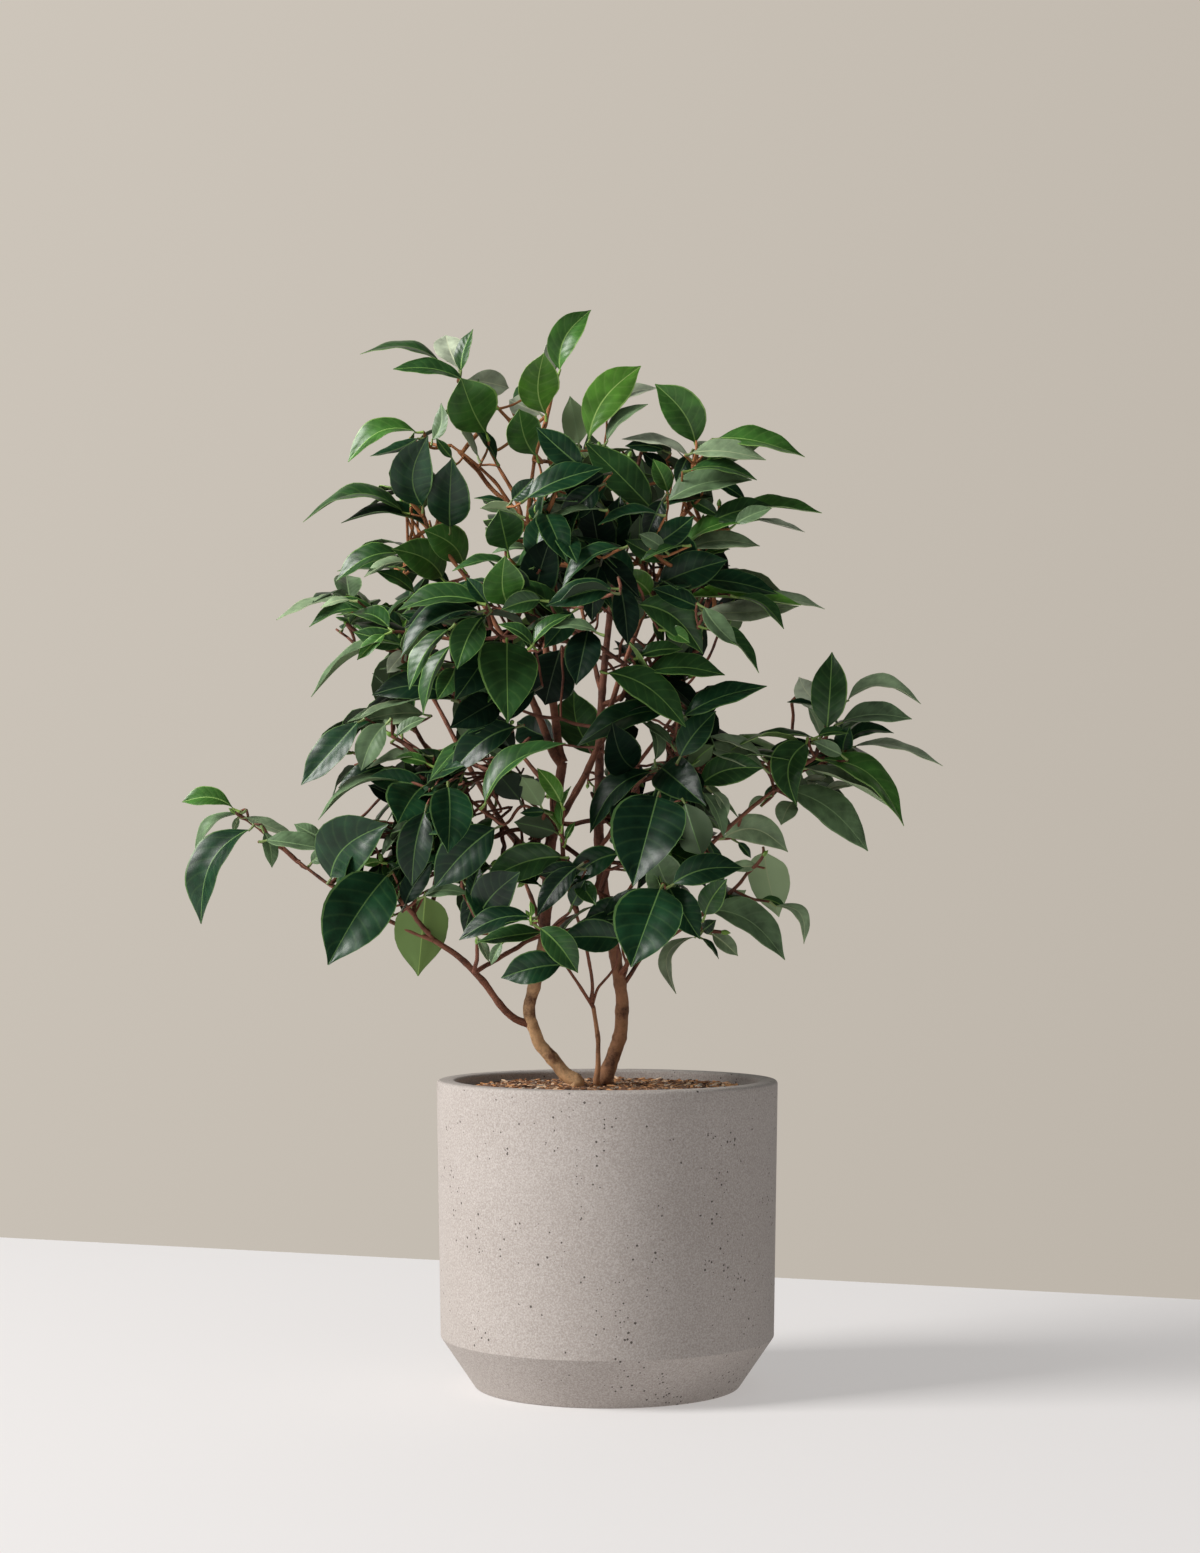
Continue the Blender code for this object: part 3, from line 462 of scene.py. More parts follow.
def smooth_through(at, knots, values):
    """A smooth curve through the values at the knots, read at some places."""
    slopes = np.gradient(np.array(values), np.array(knots))
    spans = np.clip(np.searchsorted(knots, at, side="right") - 1, 0, len(knots) - 2)
    knots, values = np.array(knots), np.array(values)
    gap = knots[spans + 1] - knots[spans]
    t = (at - knots[spans]) / gap
    return (values[spans] * (1 + 2 * t) * (1 - t) ** 2 + slopes[spans] * gap * t * (1 - t) ** 2
            + values[spans + 1] * t * t * (3 - 2 * t) + slopes[spans + 1] * gap * t * t * (t - 1))


def unit(vectors):
    """The vectors along the last axis, each made one long."""
    return vectors / np.maximum(np.linalg.norm(vectors, axis=-1, keepdims=True), SMALLEST)


def stations_of(leaf):
    """Where the rings of a blade stand between its foot at 0 and its tip at 1."""
    return STATIONS if leaf.is_fine else FEWER_STATIONS


def blade(leaf):
    """The skin of a blade: at each station a ring of points, half on top and half below."""
    stations = stations_of(leaf)
    foot, tip, normal = (np.array(p) for p in (leaf.foot, leaf.tip, leaf.normal))
    chord = tip - foot
    length = np.linalg.norm(chord)
    side = np.cross(chord / length, normal)
    v = stations[:, None]
    bulge = length * np.sin(np.pi * v ** ARCH_LEAN)
    line = foot + chord * v + normal * bulge * leaf.arch + side * bulge * leaf.bend
    along = unit(np.gradient(line, stations, axis=0))
    turn = leaf.twist * (v - 0.5)
    across = side * np.cos(turn) + normal * np.sin(turn)
    across = unit(across - along * (across * along).sum(1, keepdims=True))
    up = np.cross(across, along)
    half = leaf.width / 2 * smooth_through(stations ** leaf.belly, OUTLINE_AT, OUTLINE)
    half = half * (1 + TOOTH * (-1) ** np.arange(len(stations)))
    u = np.repeat(COLUMNS[None, :], len(stations), axis=0)
    rib = RIB_WIDTH * (1 - RIB_TAPER * stations) / np.maximum(half, SMALLEST)
    rib = np.minimum(rib, COLUMNS[RIB_COLUMNS[1] + 1] * RIB_ROOM)
    u[:, RIB_COLUMNS[0]], u[:, RIB_COLUMNS[1]] = -rib, rib
    half, u = half[:, None, None], u[:, :, None]
    wave = np.sin(2 * np.pi * WAVES * stations + WAVE_SHIFT * leaf.twist)
    wave = WAVE_SHARE * wave[:, None, None]
    lift = abs(u) * math.tan(leaf.fold) - RECURVE * abs(u) ** 3 + wave * u * abs(u)
    top = line[:, None] + across[:, None] * half * u + up[:, None] * half * lift
    below = top - up[:, None] * THICKNESS
    depth = np.minimum(half[:, 0] / half.max() * GROOVE_FADE, 1)
    for column in RIB_COLUMNS:
        top[:, column] -= up * GROOVE * depth
        below[:, column] -= up * RIDGE * depth
    return np.concatenate((top, below[:, ::-1]), axis=1).reshape(-1, 3)


def stalk(leaf):
    """The rings of the stalk, which leaves the twig at root and swells a little there."""
    root, foot, tip = (np.array(p) for p in (leaf.root, leaf.foot, leaf.tip))
    ahead = unit(tip - foot)
    foot = foot + ahead * STALK_RADIUS
    share = np.linspace(0, 1, STALK_RINGS)[:, None]
    middle = (root + foot) / 2 - np.array(leaf.normal) * np.linalg.norm(foot - root) * STALK_SAG
    line = root * (1 - share) ** 2 + middle * 2 * share * (1 - share) + foot * share ** 2
    along = unit(np.gradient(line, axis=0))
    across = unit(np.cross(along, np.array(leaf.normal) + along * OFF_NORMAL))
    up = np.cross(across, along)
    radius = (STALK_RADIUS * (STALK_SWELL + (STALK_TIP - STALK_SWELL) * share))[:, None]
    angle = (2 * np.pi * np.arange(STALK_SIDES) / STALK_SIDES)[None, :, None]
    rings = line[:, None] + radius * (across[:, None] * np.cos(angle) + up[:, None] * np.sin(angle))
    return rings.reshape(-1, 3)


def tube_faces(rings, sides, first=0):
    """The four-sided faces of a tube of rings, and its two ends."""
    faces = []
    for i in range(rings - 1):
        for j in range(sides):
            a, b = first + i * sides + j, first + i * sides + (j + 1) % sides
            faces.append((a, b, b + sides, a + sides))
    last = first + (rings - 1) * sides
    ends = [tuple(range(first + sides - 1, first - 1, -1)), tuple(range(last, last + sides))]
    return faces, ends


# Where the parts of a leaf lie across its map, and how a closed end is laid out on it.
RIB_AT, BELOW_AT, EDGE_AT = 0.25, 0.75, 0.22
MARGIN_STRIP, STALK_STRIP = (0.49, 0.495), (0.505, 0.51)
END_AT, STALK_END_AT = 0.5, 0.515
DOT_AT, DOT_STEP = 0.01, 0.0002
STALK_LOW, STALK_SPAN, STALK_ROW = 0.1, 0.8, 0.2


def end_map(across, end):
    """The map of a closed end: a dot for each corner."""
    return [(across, DOT_AT + DOT_STEP * k) for k in range(len(end))]


def leaf_pattern(stations):
    """Faces of one leaf, the kind of surface of each, and its corners on the leaf's map."""
    faces, ends = tube_faces(len(stations), RING)
    kinds, maps = [], []
    ring_kinds = ([TOP] * 3 + [RIB]) * 2 + ([BELOW] * 3 + [RIB]) * 2
    ring_u = [*(RIB_AT + EDGE_AT * COLUMNS), *(BELOW_AT + EDGE_AT * COLUMNS)]
    for v0, v1 in zip(stations, stations[1:]):
        for j in range(RING):
            kinds.append(ring_kinds[j])
            on_margin = j in (HALF_RING - 1, RING - 1)
            u0, u1 = MARGIN_STRIP if on_margin else (ring_u[j], ring_u[(j + 1) % RING])
            maps += [(u0, v0), (u1, v0), (u1, v1), (u0, v1)]
    for end in ends:
        kinds.append(RIB)
        maps += end_map(END_AT, end)
    stalk_faces, stalk_ends = tube_faces(STALK_RINGS, STALK_SIDES, len(stations) * RING)
    u0, u1 = STALK_STRIP
    for k in range(len(stalk_faces)):
        low = STALK_LOW + STALK_SPAN * (k // STALK_SIDES) / STALK_RINGS
        kinds.append(STALK)
        maps += [(u0, low), (u1, low), (u1, low + STALK_ROW), (u0, low + STALK_ROW)]
    for end in stalk_ends:
        kinds.append(STALK)
        maps += end_map(STALK_END_AT, end)
    points = len(stations) * RING + STALK_RINGS * STALK_SIDES
    return LeafPattern(faces + ends + stalk_faces + stalk_ends, kinds, np.array(maps), points)


FINE_PATTERN, COARSE_PATTERN = leaf_pattern(STATIONS), leaf_pattern(FEWER_STATIONS)
# The map holds one tile for each tone, in rows of this many, each with a narrow edge.
TILES = 3
TILE_SHARE, TILE_EDGE = 0.98, 0.01


def put_in_scene(name, corners, faces, materials, kinds=None, maps=None, sharp=None):
    """A mesh object of these corners and faces, shaded smooth."""
    mesh = bpy.data.meshes.new(name)
    mesh.from_pydata(corners, [], faces)
    for material in materials:
        mesh.materials.append(material)
    if kinds is not None:
        mesh.polygons.foreach_set("material_index", np.array(kinds, dtype=np.int32))
    if maps is not None:
        layer = mesh.uv_layers.new(name="OFBake")
        layer.data.foreach_set("uv", np.array(maps, dtype=np.float32).ravel())
    mesh.shade_smooth()
    if sharp is not None:
        mesh.set_sharp_from_angle(angle=sharp)
    mesh.update()
    thing = bpy.data.objects.new(name, mesh)
    bpy.context.scene.collection.objects.link(thing)
    return thing


def leaf_piece(name, leaves, palette):
    """One object of many leaves. palette gives the materials of each tone: top, below, rib, stalk."""
    tones = list(palette)
    materials = [material for tone in tones for material in palette[tone]]
    corners, faces, kinds, maps = [], [], [], []
    first = 0
    for leaf in leaves:
        pattern = FINE_PATTERN if leaf.is_fine else COARSE_PATTERN
        tone = tones.index(leaf.tone)
        corners.append(blade(leaf))
        corners.append(stalk(leaf))
        faces += [tuple(first + k for k in face) for face in pattern.faces]
        kinds += [tone * PARTS_OF_LEAF + kind for kind in pattern.kinds]
        tile = np.array((tone % TILES, tone // TILES))
        maps.append((pattern.maps * TILE_SHARE + TILE_EDGE + tile) / TILES)
        first += pattern.points
    return put_in_scene(name, np.concatenate(corners).tolist(), faces, materials, kinds,
                        np.concatenate(maps), LEAF_SHARP)


# ---------------------------------------------------------------- where the leaves stand

PIXELS_PER_METRE = FOCAL_PIXELS / -CAMERA_PLACE.y
BOX_MARGIN = 0.01
LEAST_BULGE = 0.25
# How wide a blade may be and usually is, as shares of its length.
WIDEST_SHARE, USUAL_SHARE = 0.54, 0.43
LARGEST_SLANT = 0.045
FORWARD_ABOVE = 0.15
MOST_FACING = 0.98
STALK_LENGTH = 0.007
SHOWN_RISE = 0.4
SHOWN_ARCHES, SHOWN_BENDS, SHOWN_TWISTS = (0.05, 0.08), (-0.05, 0.05), (-0.35, 0.35)
SHOWN_FOLDS = (12, 26)
EDGEWISE_ARCH = 0.09


class Mass:
    """A mass of foliage of the frame: its box, its skin and what grows in it."""

    def __init__(self, name):
        self.name = name
        low, high = (np.array(corner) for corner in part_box(name))
        self.low, self.high = low, high
        self.centre, self.half = Vector((low + high) / 2), Vector((high - low) / 2)
        mesh = frame["nodes"][name].data
        self.skin = BVHTree.FromPolygons([v.co[:] for v in mesh.vertices],
                                         [p.vertices[:] for p in mesh.polygons])

    def is_near(self, place):
        """True if a point is in the box of the mass, or a little outside."""
        return all(low - BOX_MARGIN < c < high + BOX_MARGIN
                   for low, c, high in zip(self.low, place, self.high))

    def holds(self, place, margin=0.0):
        """True if a point is inside the skin, or outside by no more than a margin."""
        spot, normal, _, _ = self.skin.find_nearest(place)
        outside = (place - spot).dot(normal)
        return outside < margin

    def distance(self, place):
        """How far a point is from the mass, 0 inside it."""
        return 0 if self.holds(place) else (self.skin.find_nearest(place)[0] - place).length

    def at(self, px, py, near):
        """The point that a pixel shows, as far forward in this mass as near says."""
        middle = seen(px, py, self.centre.y)
        away_x = (middle.x - self.centre.x) / self.half.x
        away_z = (middle.z - self.centre.z) / self.half.z
        bulge = math.sqrt(max(LEAST_BULGE ** 2, 1 - away_x ** 2 - away_z ** 2))
        return seen(px, py, self.centre.y - self.half.y * near * bulge)


def facing(foot, tip, face):
    """The normal of a blade that turns its face to the camera by that share, else its edge."""
    chord = (tip - foot).normalized()
    to_camera = (CAMERA_PLACE - foot).normalized()
    shown = (to_camera - chord * to_camera.dot(chord)).normalized()
    edgewise = shown.cross(chord)
    if edgewise.z < 0:
        edgewise = -edgewise
    return (shown * face + edgewise * math.sqrt(1 - face * face)).normalized()


def bowed(foot, tip, normal, arch, bend, bow):
    """The arch and bend with which a blade's middle stands off its straight line by bow."""
    chord = tip - foot
    off = Vector((-chord.z, 0, chord.x)).normalized()
    if (off.z < 0) if abs(chord.x) > abs(chord.z) else (off.x > 0):
        off = -off
    side = chord.cross(normal).normalized()
    on_arch, on_bend = normal.dot(off), side.dot(off)
    wanted = bow / chord.length - arch * on_arch - bend * on_bend
    return arch + wanted * on_arch, bend + wanted * on_bend


def shown_leaf(mass, row, rng):
    """The leaf that the photograph shows at a row of the table."""
    row = Seen(*row)
    foot = mass.at(row.foot_x, row.foot_y, row.near)
    tip = seen(row.tip_x, row.tip_y, foot.y)
    shown = (tip - foot).length
    wide = abs(row.wide) / PIXELS_PER_METRE * (foot.y - CAMERA_PLACE.y) / -CAMERA_PLACE.y
    length = max(shown, wide / WIDEST_SHARE)
    slant = min(LARGEST_SLANT, math.sqrt(length ** 2 - shown ** 2))
    toward = -1 if row.near > FORWARD_ABOVE else 1
    tip = seen(row.tip_x, row.tip_y, foot.y + toward * slant)
    length = (tip - foot).length
    width = max(wide, USUAL_SHARE * length)
    face = min(MOST_FACING, wide / width) * (1 if row.wide > 0 else -1)
    normal = facing(foot, tip, face)
    ahead = (tip - foot).normalized()
    root = foot - (ahead + UP * SHOWN_RISE).normalized() * STALK_LENGTH
    arch = rng.uniform(*SHOWN_ARCHES) + EDGEWISE_ARCH * (1 - abs(face))
    bend = rng.uniform(*SHOWN_BENDS)
    if row.bow is not None:
        arch, bend = bowed(foot, tip, normal, arch, bend, row.bow / PIXELS_PER_METRE)
    return Leaf(root, foot, tip, normal, width, arch, bend, rng.uniform(*SHOWN_TWISTS),
                math.radians(rng.uniform(*SHOWN_FOLDS)), row.tone, row.belly, is_fine=True)


def inside_any(place, areas):
    """True if the photograph would show a point inside one of these areas."""
    px, py = pixel(place)
    return any(left < px < right and top < py < bottom for left, top, right, bottom in areas)


MIDLINE_SPOTS = (0, 0.25, 0.5, 0.75, 1)
SIDE_SPOTS = (0.3, 0.6)
SIDE_REACH = 0.4


def spots_of(leaf):
    """Points spread over a leaf."""
    ahead = leaf.tip - leaf.foot
    side = ahead.cross(leaf.normal).normalized() * leaf.width * SIDE_REACH
    spots = [leaf.foot + ahead * share for share in MIDLINE_SPOTS]
    return spots + [leaf.foot + ahead * share + side * way for share in SIDE_SPOTS for way in (-1, 1)]


def is_hidden(spot, screen):
    """True if a leaf of the table hides a point from the camera, or would."""
    way = spot - CAMERA_PLACE
    return inside_any(spot, DENSE) or screen.ray_cast(CAMERA_PLACE, way, way.length)[0] is not None


def stays_back(leaf, screen):
    """True if no point of a leaf shows, but where the photograph's crown is dense."""
    return all(is_hidden(spot, screen) and not inside_any(spot, WINDOWS) for spot in spots_of(leaf))


CROWN_MIDDLE = Vector((-0.02, 0.02, 0.62))
CROWN_HALF = Vector((0.30, 0.22, 0.34))
CORE = 0.5
OUTER_TONES, OUTER_SHARES = (DARK, MID, BRIGHT), (0.62, 0.3, 0.08)
SPACING = 0.017
TRIES = 6000

SHOOT_TURN = math.radians(137.5)
SHOOT_REACHES, SHOOT_COUNTS = (0.03, 0.07), (3, 5)
SHOOT_OUT, SHOOT_RISE, SHOOT_JITTER = 0.5, 0.25, 0.5
LEAF_OPENINGS, LEAF_DROOP, STALK_RISE = (0.6, 1.1), 0.22, 0.3
LEAF_LENGTHS, LEAF_SHARES = (0.044, 0.08), (0.4, 0.5)
LEAF_ARCHES, LEAF_BENDS, LEAF_TWISTS = (0.06, 0.16), (-0.06, 0.06), (-0.4, 0.4)
LEAF_FOLDS = (9, 22)
FACE_OUT, FACE_JITTER = 0.5, 0.35


def jittered(rng, reach):
    """A vector with each part drawn from -reach to reach."""
    return Vector(rng.uniform(-reach, reach) for _ in range(3))


def sprouted(root, axis, way, outward, tone, rng):
    """A leaf from a shoot, on the side that way points to, its face turned up and outward."""
    open_by = rng.uniform(*LEAF_OPENINGS)
    ahead = (axis * math.cos(open_by) + way * math.sin(open_by) - UP * LEAF_DROOP).normalized()
    foot = root + (ahead + UP * STALK_RISE).normalized() * STALK_LENGTH
    length = rng.uniform(*LEAF_LENGTHS)
    above = UP + outward * FACE_OUT + jittered(rng, FACE_JITTER)
    normal = (above - ahead * above.dot(ahead)).normalized()
    return Leaf(root, foot, foot + ahead * length, normal, length * rng.uniform(*LEAF_SHARES),
                rng.uniform(*LEAF_ARCHES), rng.uniform(*LEAF_BENDS), rng.uniform(*LEAF_TWISTS),
                math.radians(rng.uniform(*LEAF_FOLDS)), tone)


def spray(mass, rng):
    """One leafy shoot: its axis from root to tip, and leaves in a spiral along it."""
    spot = Vector(rng.uniform(low, high) for low, high in zip(mass.low, mass.high))
    out = spot - CROWN_MIDDLE
    outward = out.normalized() + (spot - mass.centre).normalized() * SHOOT_OUT
    axis = (outward + UP * SHOOT_RISE + jittered(rng, SHOOT_JITTER)).normalized()
    reach = rng.uniform(*SHOOT_REACHES)
    count = rng.randint(*SHOOT_COUNTS)
    turn = rng.uniform(0, 2 * math.pi)
    across = axis.orthogonal().normalized()
    up = axis.cross(across)
    # Sprays in the core of the crown take the deep tone: painted shade where the crown shades itself.
    in_core = math.hypot(out.x / CROWN_HALF.x, out.y / CROWN_HALF.y, out.z / CROWN_HALF.z) < CORE
    tone = DEEP_SHADE if in_core else rng.choices(OUTER_TONES, OUTER_SHARES)[0]
    leaves = []
    for i in range(count):
        turn += SHOOT_TURN
        way = across * math.cos(turn) + up * math.sin(turn)
        leaves.append(sprouted(spot + axis * reach * i / count, axis, way, outward, tone, rng))
    return [spot, spot + axis * reach], leaves


SKIN_MARGIN = 0.001
SPRAYS_PER_LITRE = 20
PAST_LEAF = 0.2

masses = {name: Mass(name) for name in sorted(frame["nodes"]) if name.startswith("mass_")}


def in_crown(place, margin):
    """True if a point is inside any mass, or outside by no more than a margin."""
    return any(mass.is_near(place) and mass.holds(place, margin) for mass in masses.values())


class Crowd:
    """The middles of the leaves placed so far, sorted into cells as wide as their spacing."""

    def __init__(self, leaves):
        self.cells = defaultdict(list)
        for leaf in leaves:
            self.add(leaf)

    def add(self, leaf):
        """Adds a leaf."""
        middle = (leaf.foot + leaf.tip) / 2
        self.cells[tuple(math.floor(c / SPACING) for c in middle)].append(middle)

    def leaves_room(self, leaf):
        """True if a leaf would stand clear of the others."""
        middle = (leaf.foot + leaf.tip) / 2
        x, y, z = (math.floor(c / SPACING) for c in middle)
        near = product((x - 1, x, x + 1), (y - 1, y, y + 1), (z - 1, z, z + 1))
        return all((middle - other).length >= SPACING for cell in near
                   for other in self.cells.get(cell, ()))


def may_stand(leaf, crowd, screen):
    """True if a filling leaf stays in the crown, clear of the other leaves and the windows."""
    inside = in_crown(leaf.foot, 0) and in_crown(leaf.tip, SKIN_MARGIN)
    return inside and crowd.leaves_room(leaf) and stays_back(leaf, screen)


def fill(mass, crowd, screen):
    """Sprays that fill a mass behind the leaves that the photograph shows."""
    rng = random.Random("sprays of " + mass.name)
    litres = 1000 * mass.half.x * mass.half.y * mass.half.z * math.pi * 4 / 3
    wanted = round(SPRAYS_PER_LITRE * litres)
    axes, leaves = [], []
    for _ in range(TRIES):
        if len(axes) >= wanted:
            break
        (start, end), grown = spray(mass, rng)
        if not (is_hidden(start, screen) and is_hidden(end, screen)):
            continue
        kept = [leaf for leaf in grown if may_stand(leaf, crowd, screen)]
        if kept:
            axes.append((start, kept[-1].root.lerp(end, PAST_LEAF)))
            leaves += kept
            for leaf in kept:
                crowd.add(leaf)
    return axes, leaves


# ---------------------------------------------------------------- twigs, from the boughs to the leaves

NODE_STEP = 0.012
PATH_WEIGHT = 0.3
TURN_WEIGHT = 0.5
ENTRY_REACH = 0.03
ENTRY_PATH = 0.06
ENTRY_COUNT, ENTRY_LOOK = 12, 400
LONGEST_SEARCH = 25
SET_BACK = 0.24
WANDER = 0.0014
COVER_CHECKS = (0.25, 0.5, 0.75)


def stays_covered(start, end):
    """True if a twig straight from start to end crosses no window of the photograph."""
    return not any(inside_any(start.lerp(end, share), WINDOWS) for share in COVER_CHECKS)


class Twigs:
    """A network of nodes that grows from the limbs of the frame to the leaves of one mass."""

    def __init__(self, mass, rng):
        self.rng = rng
        points = [point for limb in limbs.values() for point in limb.line]
        points.sort(key=mass.distance)
        near = [point for point in points[:ENTRY_LOOK] if mass.holds(point, ENTRY_REACH)]
        self.places = near if len(near) >= ENTRY_COUNT else points[:ENTRY_COUNT]
        self.roots = len(self.places)
        self.parents = [None] * self.roots
        self.paths = [ENTRY_PATH] * self.roots
        self.loads = [0] * self.roots
        self.buds = []

    def best(self, place):
        """The node from which a twig best grows to a place."""
        costs = []
        for i, start in enumerate(self.places):
            way = place - start
            cost = way.length + PATH_WEIGHT * self.paths[i]
            parent = self.parents[i]
            if parent is not None and way.length > SMALLEST:
                heading = (start - self.places[parent]).normalized()
                cost += TURN_WEIGHT * way.length * (1 - heading.dot(way.normalized())) / 2
            costs.append(cost)
        order = sorted(range(len(costs)), key=costs.__getitem__)[:LONGEST_SEARCH]
        clear = (i for i in order if stays_covered(self.places[i], place))
        return next(clear, order[0])

    def grow(self, place, start=None, load=1):
        """Adds nodes up to a place, and gives the last one's number."""
        node = self.best(place) if start is None else start
        way = place - self.places[node]
        steps = max(1, round(way.length / NODE_STEP))
        first = self.places[node]
        for i in range(1, steps + 1):
            spot = first.lerp(place, i / steps)
            if i < steps:
                spot += jittered(self.rng, 1) * WANDER
                spot.y += SET_BACK * way.length * math.sin(math.pi * i / steps)
            self.places.append(spot)
            self.parents.append(node)
            before = 0 if node < self.roots else self.paths[node]
            self.paths.append(before + (spot - self.places[node]).length)
            self.loads.append(0)
            node = len(self.places) - 1
        walk = node
        while walk is not None:
            self.loads[walk] += load
            walk = self.parents[walk]
        return node

    def follow(self, line, load=1, has_bud=True):
        """Adds a twig along a line of places, with or without a bud at its tip."""
        node = self.grow(line[0], load=load)
        for place in line[1:]:
            node = self.grow(place, start=node, load=load)
        if has_bud:
            self.buds.append((line[-1], (line[-1] - line[-2]).normalized()))

    def chains(self):
        """Each twig as node numbers, from the node that it leaves to its tip."""
        children = defaultdict(list)
        for i in range(self.roots, len(self.places)):
            children[self.parents[i]].append(i)
        waiting = [(parent, child) for parent in range(self.roots) for child in children[parent]]
        found = []
        while waiting:
            parent, child = waiting.pop()
            chain = [parent, child]
            while children[chain[-1]]:
                onward = sorted(children[chain[-1]], key=lambda c: -self.loads[c])
                waiting += [(chain[-1], other) for other in onward[1:]]
                chain.append(onward[0])
            found.append(chain)
        return found


def smooth_line(points, step):
    """Points every step along a Catmull-Rom curve through the given ones."""
    points = [np.array(p) for p in points]
    padded = [2 * points[0] - points[1], *points, 2 * points[-1] - points[-2]]
    line = []
    for a, b, c, d in zip(padded, padded[1:], padded[2:], padded[3:]):
        count = max(1, round(np.linalg.norm(c - b) / step))
        for i in range(count):
            t = i / count
            line.append(0.5 * (2 * b + (c - a) * t + (2 * a - 5 * b + 4 * c - d) * t * t
                               + (3 * b - a - 3 * c + d) * t ** 3))
    line.append(points[-1])
    return np.array(line)


# A direction that no limb runs in.
ASKEW = (0.3, 0.5, 0.81)


def tube(line, radii, sides):
    """Rings of points round a line, without twist, and the frame they stand in."""
    line, radii = np.array(line), np.array(radii)
    along = unit(np.gradient(line, axis=0))
    across = unit(np.cross(along[0], ASKEW))
    rings = []
    angle = 2 * np.pi * np.arange(sides) / sides
    for place, ahead, radius in zip(line, along, radii):
        across = unit(across - ahead * across.dot(ahead))
        up = np.cross(ahead, across)
        ring = np.cos(angle)[:, None] * across + np.sin(angle)[:, None] * up
        rings.append(place + ring * np.reshape(radius, (-1, 1)))
    return np.array(rings)


class Skin:
    """Corners and faces of many tubes, gathered for one object."""

    def __init__(self):
        self.corners, self.faces, self.kinds = [], [], []
        self.count = 0

    def add(self, rings, kind=0):
        """Adds one closed tube."""
        sides = rings.shape[1]
        faces, ends = tube_faces(len(rings), sides, self.count)
        self.corners.append(rings.reshape(-1, 3))
        self.faces += faces + ends
        self.kinds += [kind] * (len(faces) + 2)
        self.count += len(rings) * sides

    def make(self, name, materials, sharp=None):
        """The object."""
        return put_in_scene(name, np.concatenate(self.corners).tolist(), self.faces, materials,
                            self.kinds, sharp=sharp)


TIP_RADIUS = 0.00105
LOAD_POWER = 0.32
THICKEST_TWIG = 0.0021
SHOWN_LOAD = 3
TWIG_SIDES = 6
TWIG_STEP = 0.0045
# Twigs above this height take young bark. Lower ones take darker old bark, partly old wood and partly painted
# shade inside the crown.
YOUNG_ABOVE = 0.73
TWIG_YOUNG, TWIG_OLD_SHADED, BUD = range(3)
TWIG_KNOT, TWIG_KNOT_POWER = 0.10, 6
BUD_LENGTH, BUD_SIZES = 0.0085, (0.7, 1.15)
BUD_EVERY = 3
BUD_SUNK = 0.1
BUD_PROFILE = ((0, 0.10), (0.12, 0.2), (0.35, 0.27), (0.6, 0.24), (0.82, 0.13), (1, 0.02))


def twig_radius(load):
    """A twig's radius, from how many leaves it feeds."""
    return min(THICKEST_TWIG, TIP_RADIUS * max(1, load) ** LOAD_POWER)


def add_bud(skin, place, ahead, length):
    """Adds one pointed leaf bud to a skin."""
    line = [place + ahead * length * (share - BUD_SUNK) for share, _ in BUD_PROFILE]
    skin.add(tube(line, [length * radius for _, radius in BUD_PROFILE], TWIG_SIDES + 1), BUD)


def add_twigs(skin, twigs):
    """Adds every twig of a network to a skin, those high in the crown as young wood, the rest as darker old
    wood that is partly painted shade inside the crown.
    """
    for place, ahead in twigs.buds:
        add_bud(skin, place, ahead, BUD_LENGTH * twigs.rng.uniform(*BUD_SIZES))
    for chain in twigs.chains():
        places = [twigs.places[i] for i in chain]
        loads = [twigs.loads[i] for i in chain]
        loads[0] = loads[1]
        line = smooth_line(places, TWIG_STEP)
        at = np.linspace(0, len(chain) - 1, len(line))
        radii = np.interp(at, range(len(chain)), [twig_radius(load) for load in loads])
        knots = 1 + TWIG_KNOT * np.sin(at * math.pi * 2 + len(chain)) ** TWIG_KNOT_POWER
        kind = TWIG_YOUNG if line[:, 2].mean() > YOUNG_ABOVE else TWIG_OLD_SHADED
        skin.add(tube(line, radii * knots, TWIG_SIDES), kind)


def shown_leaves():
    """The leaves of the table, by mass, and a screen of their blades."""
    found, corners, faces = {}, [], []
    for name, rows in LEAVES.items():
        rng = random.Random("leaves of " + name)
        mass = masses[name]
        found[name] = [shown_leaf(mass, row, rng) for row in rows]
        for leaf in found[name]:
            strips, _ = tube_faces(len(STATIONS), RING, sum(len(part) for part in corners))
            corners.append(blade(leaf))
            faces += strips
    return found, BVHTree.FromPolygons(np.concatenate(corners).tolist(), faces)


def grow_mass(name, leaves, crowd, screen):
    """(twigs, leaves) of one mass."""
    mass = masses[name]
    rng = random.Random("twigs of " + name)
    axes, filling = fill(mass, crowd, screen)
    leaves = leaves + filling
    twigs = Twigs(mass, rng)
    for owner, near, line in SHOWN_TWIGS:
        if owner == name:
            twigs.follow([mass.at(px, py, near) for px, py in line], load=SHOWN_LOAD)
    for number, (start, end) in enumerate(axes):
        twigs.follow([start, end], has_bud=number % BUD_EVERY == 0)
    spots = twigs.places[:twigs.roots]
    leaves.sort(key=lambda leaf: min((leaf.root - spot).length for spot in spots))
    for leaf in leaves:
        twigs.grow(leaf.root)
    return twigs, leaves


# ---------------------------------------------------------------- materials

BLACK, WHITE = (0, 0, 0), (1, 1, 1)


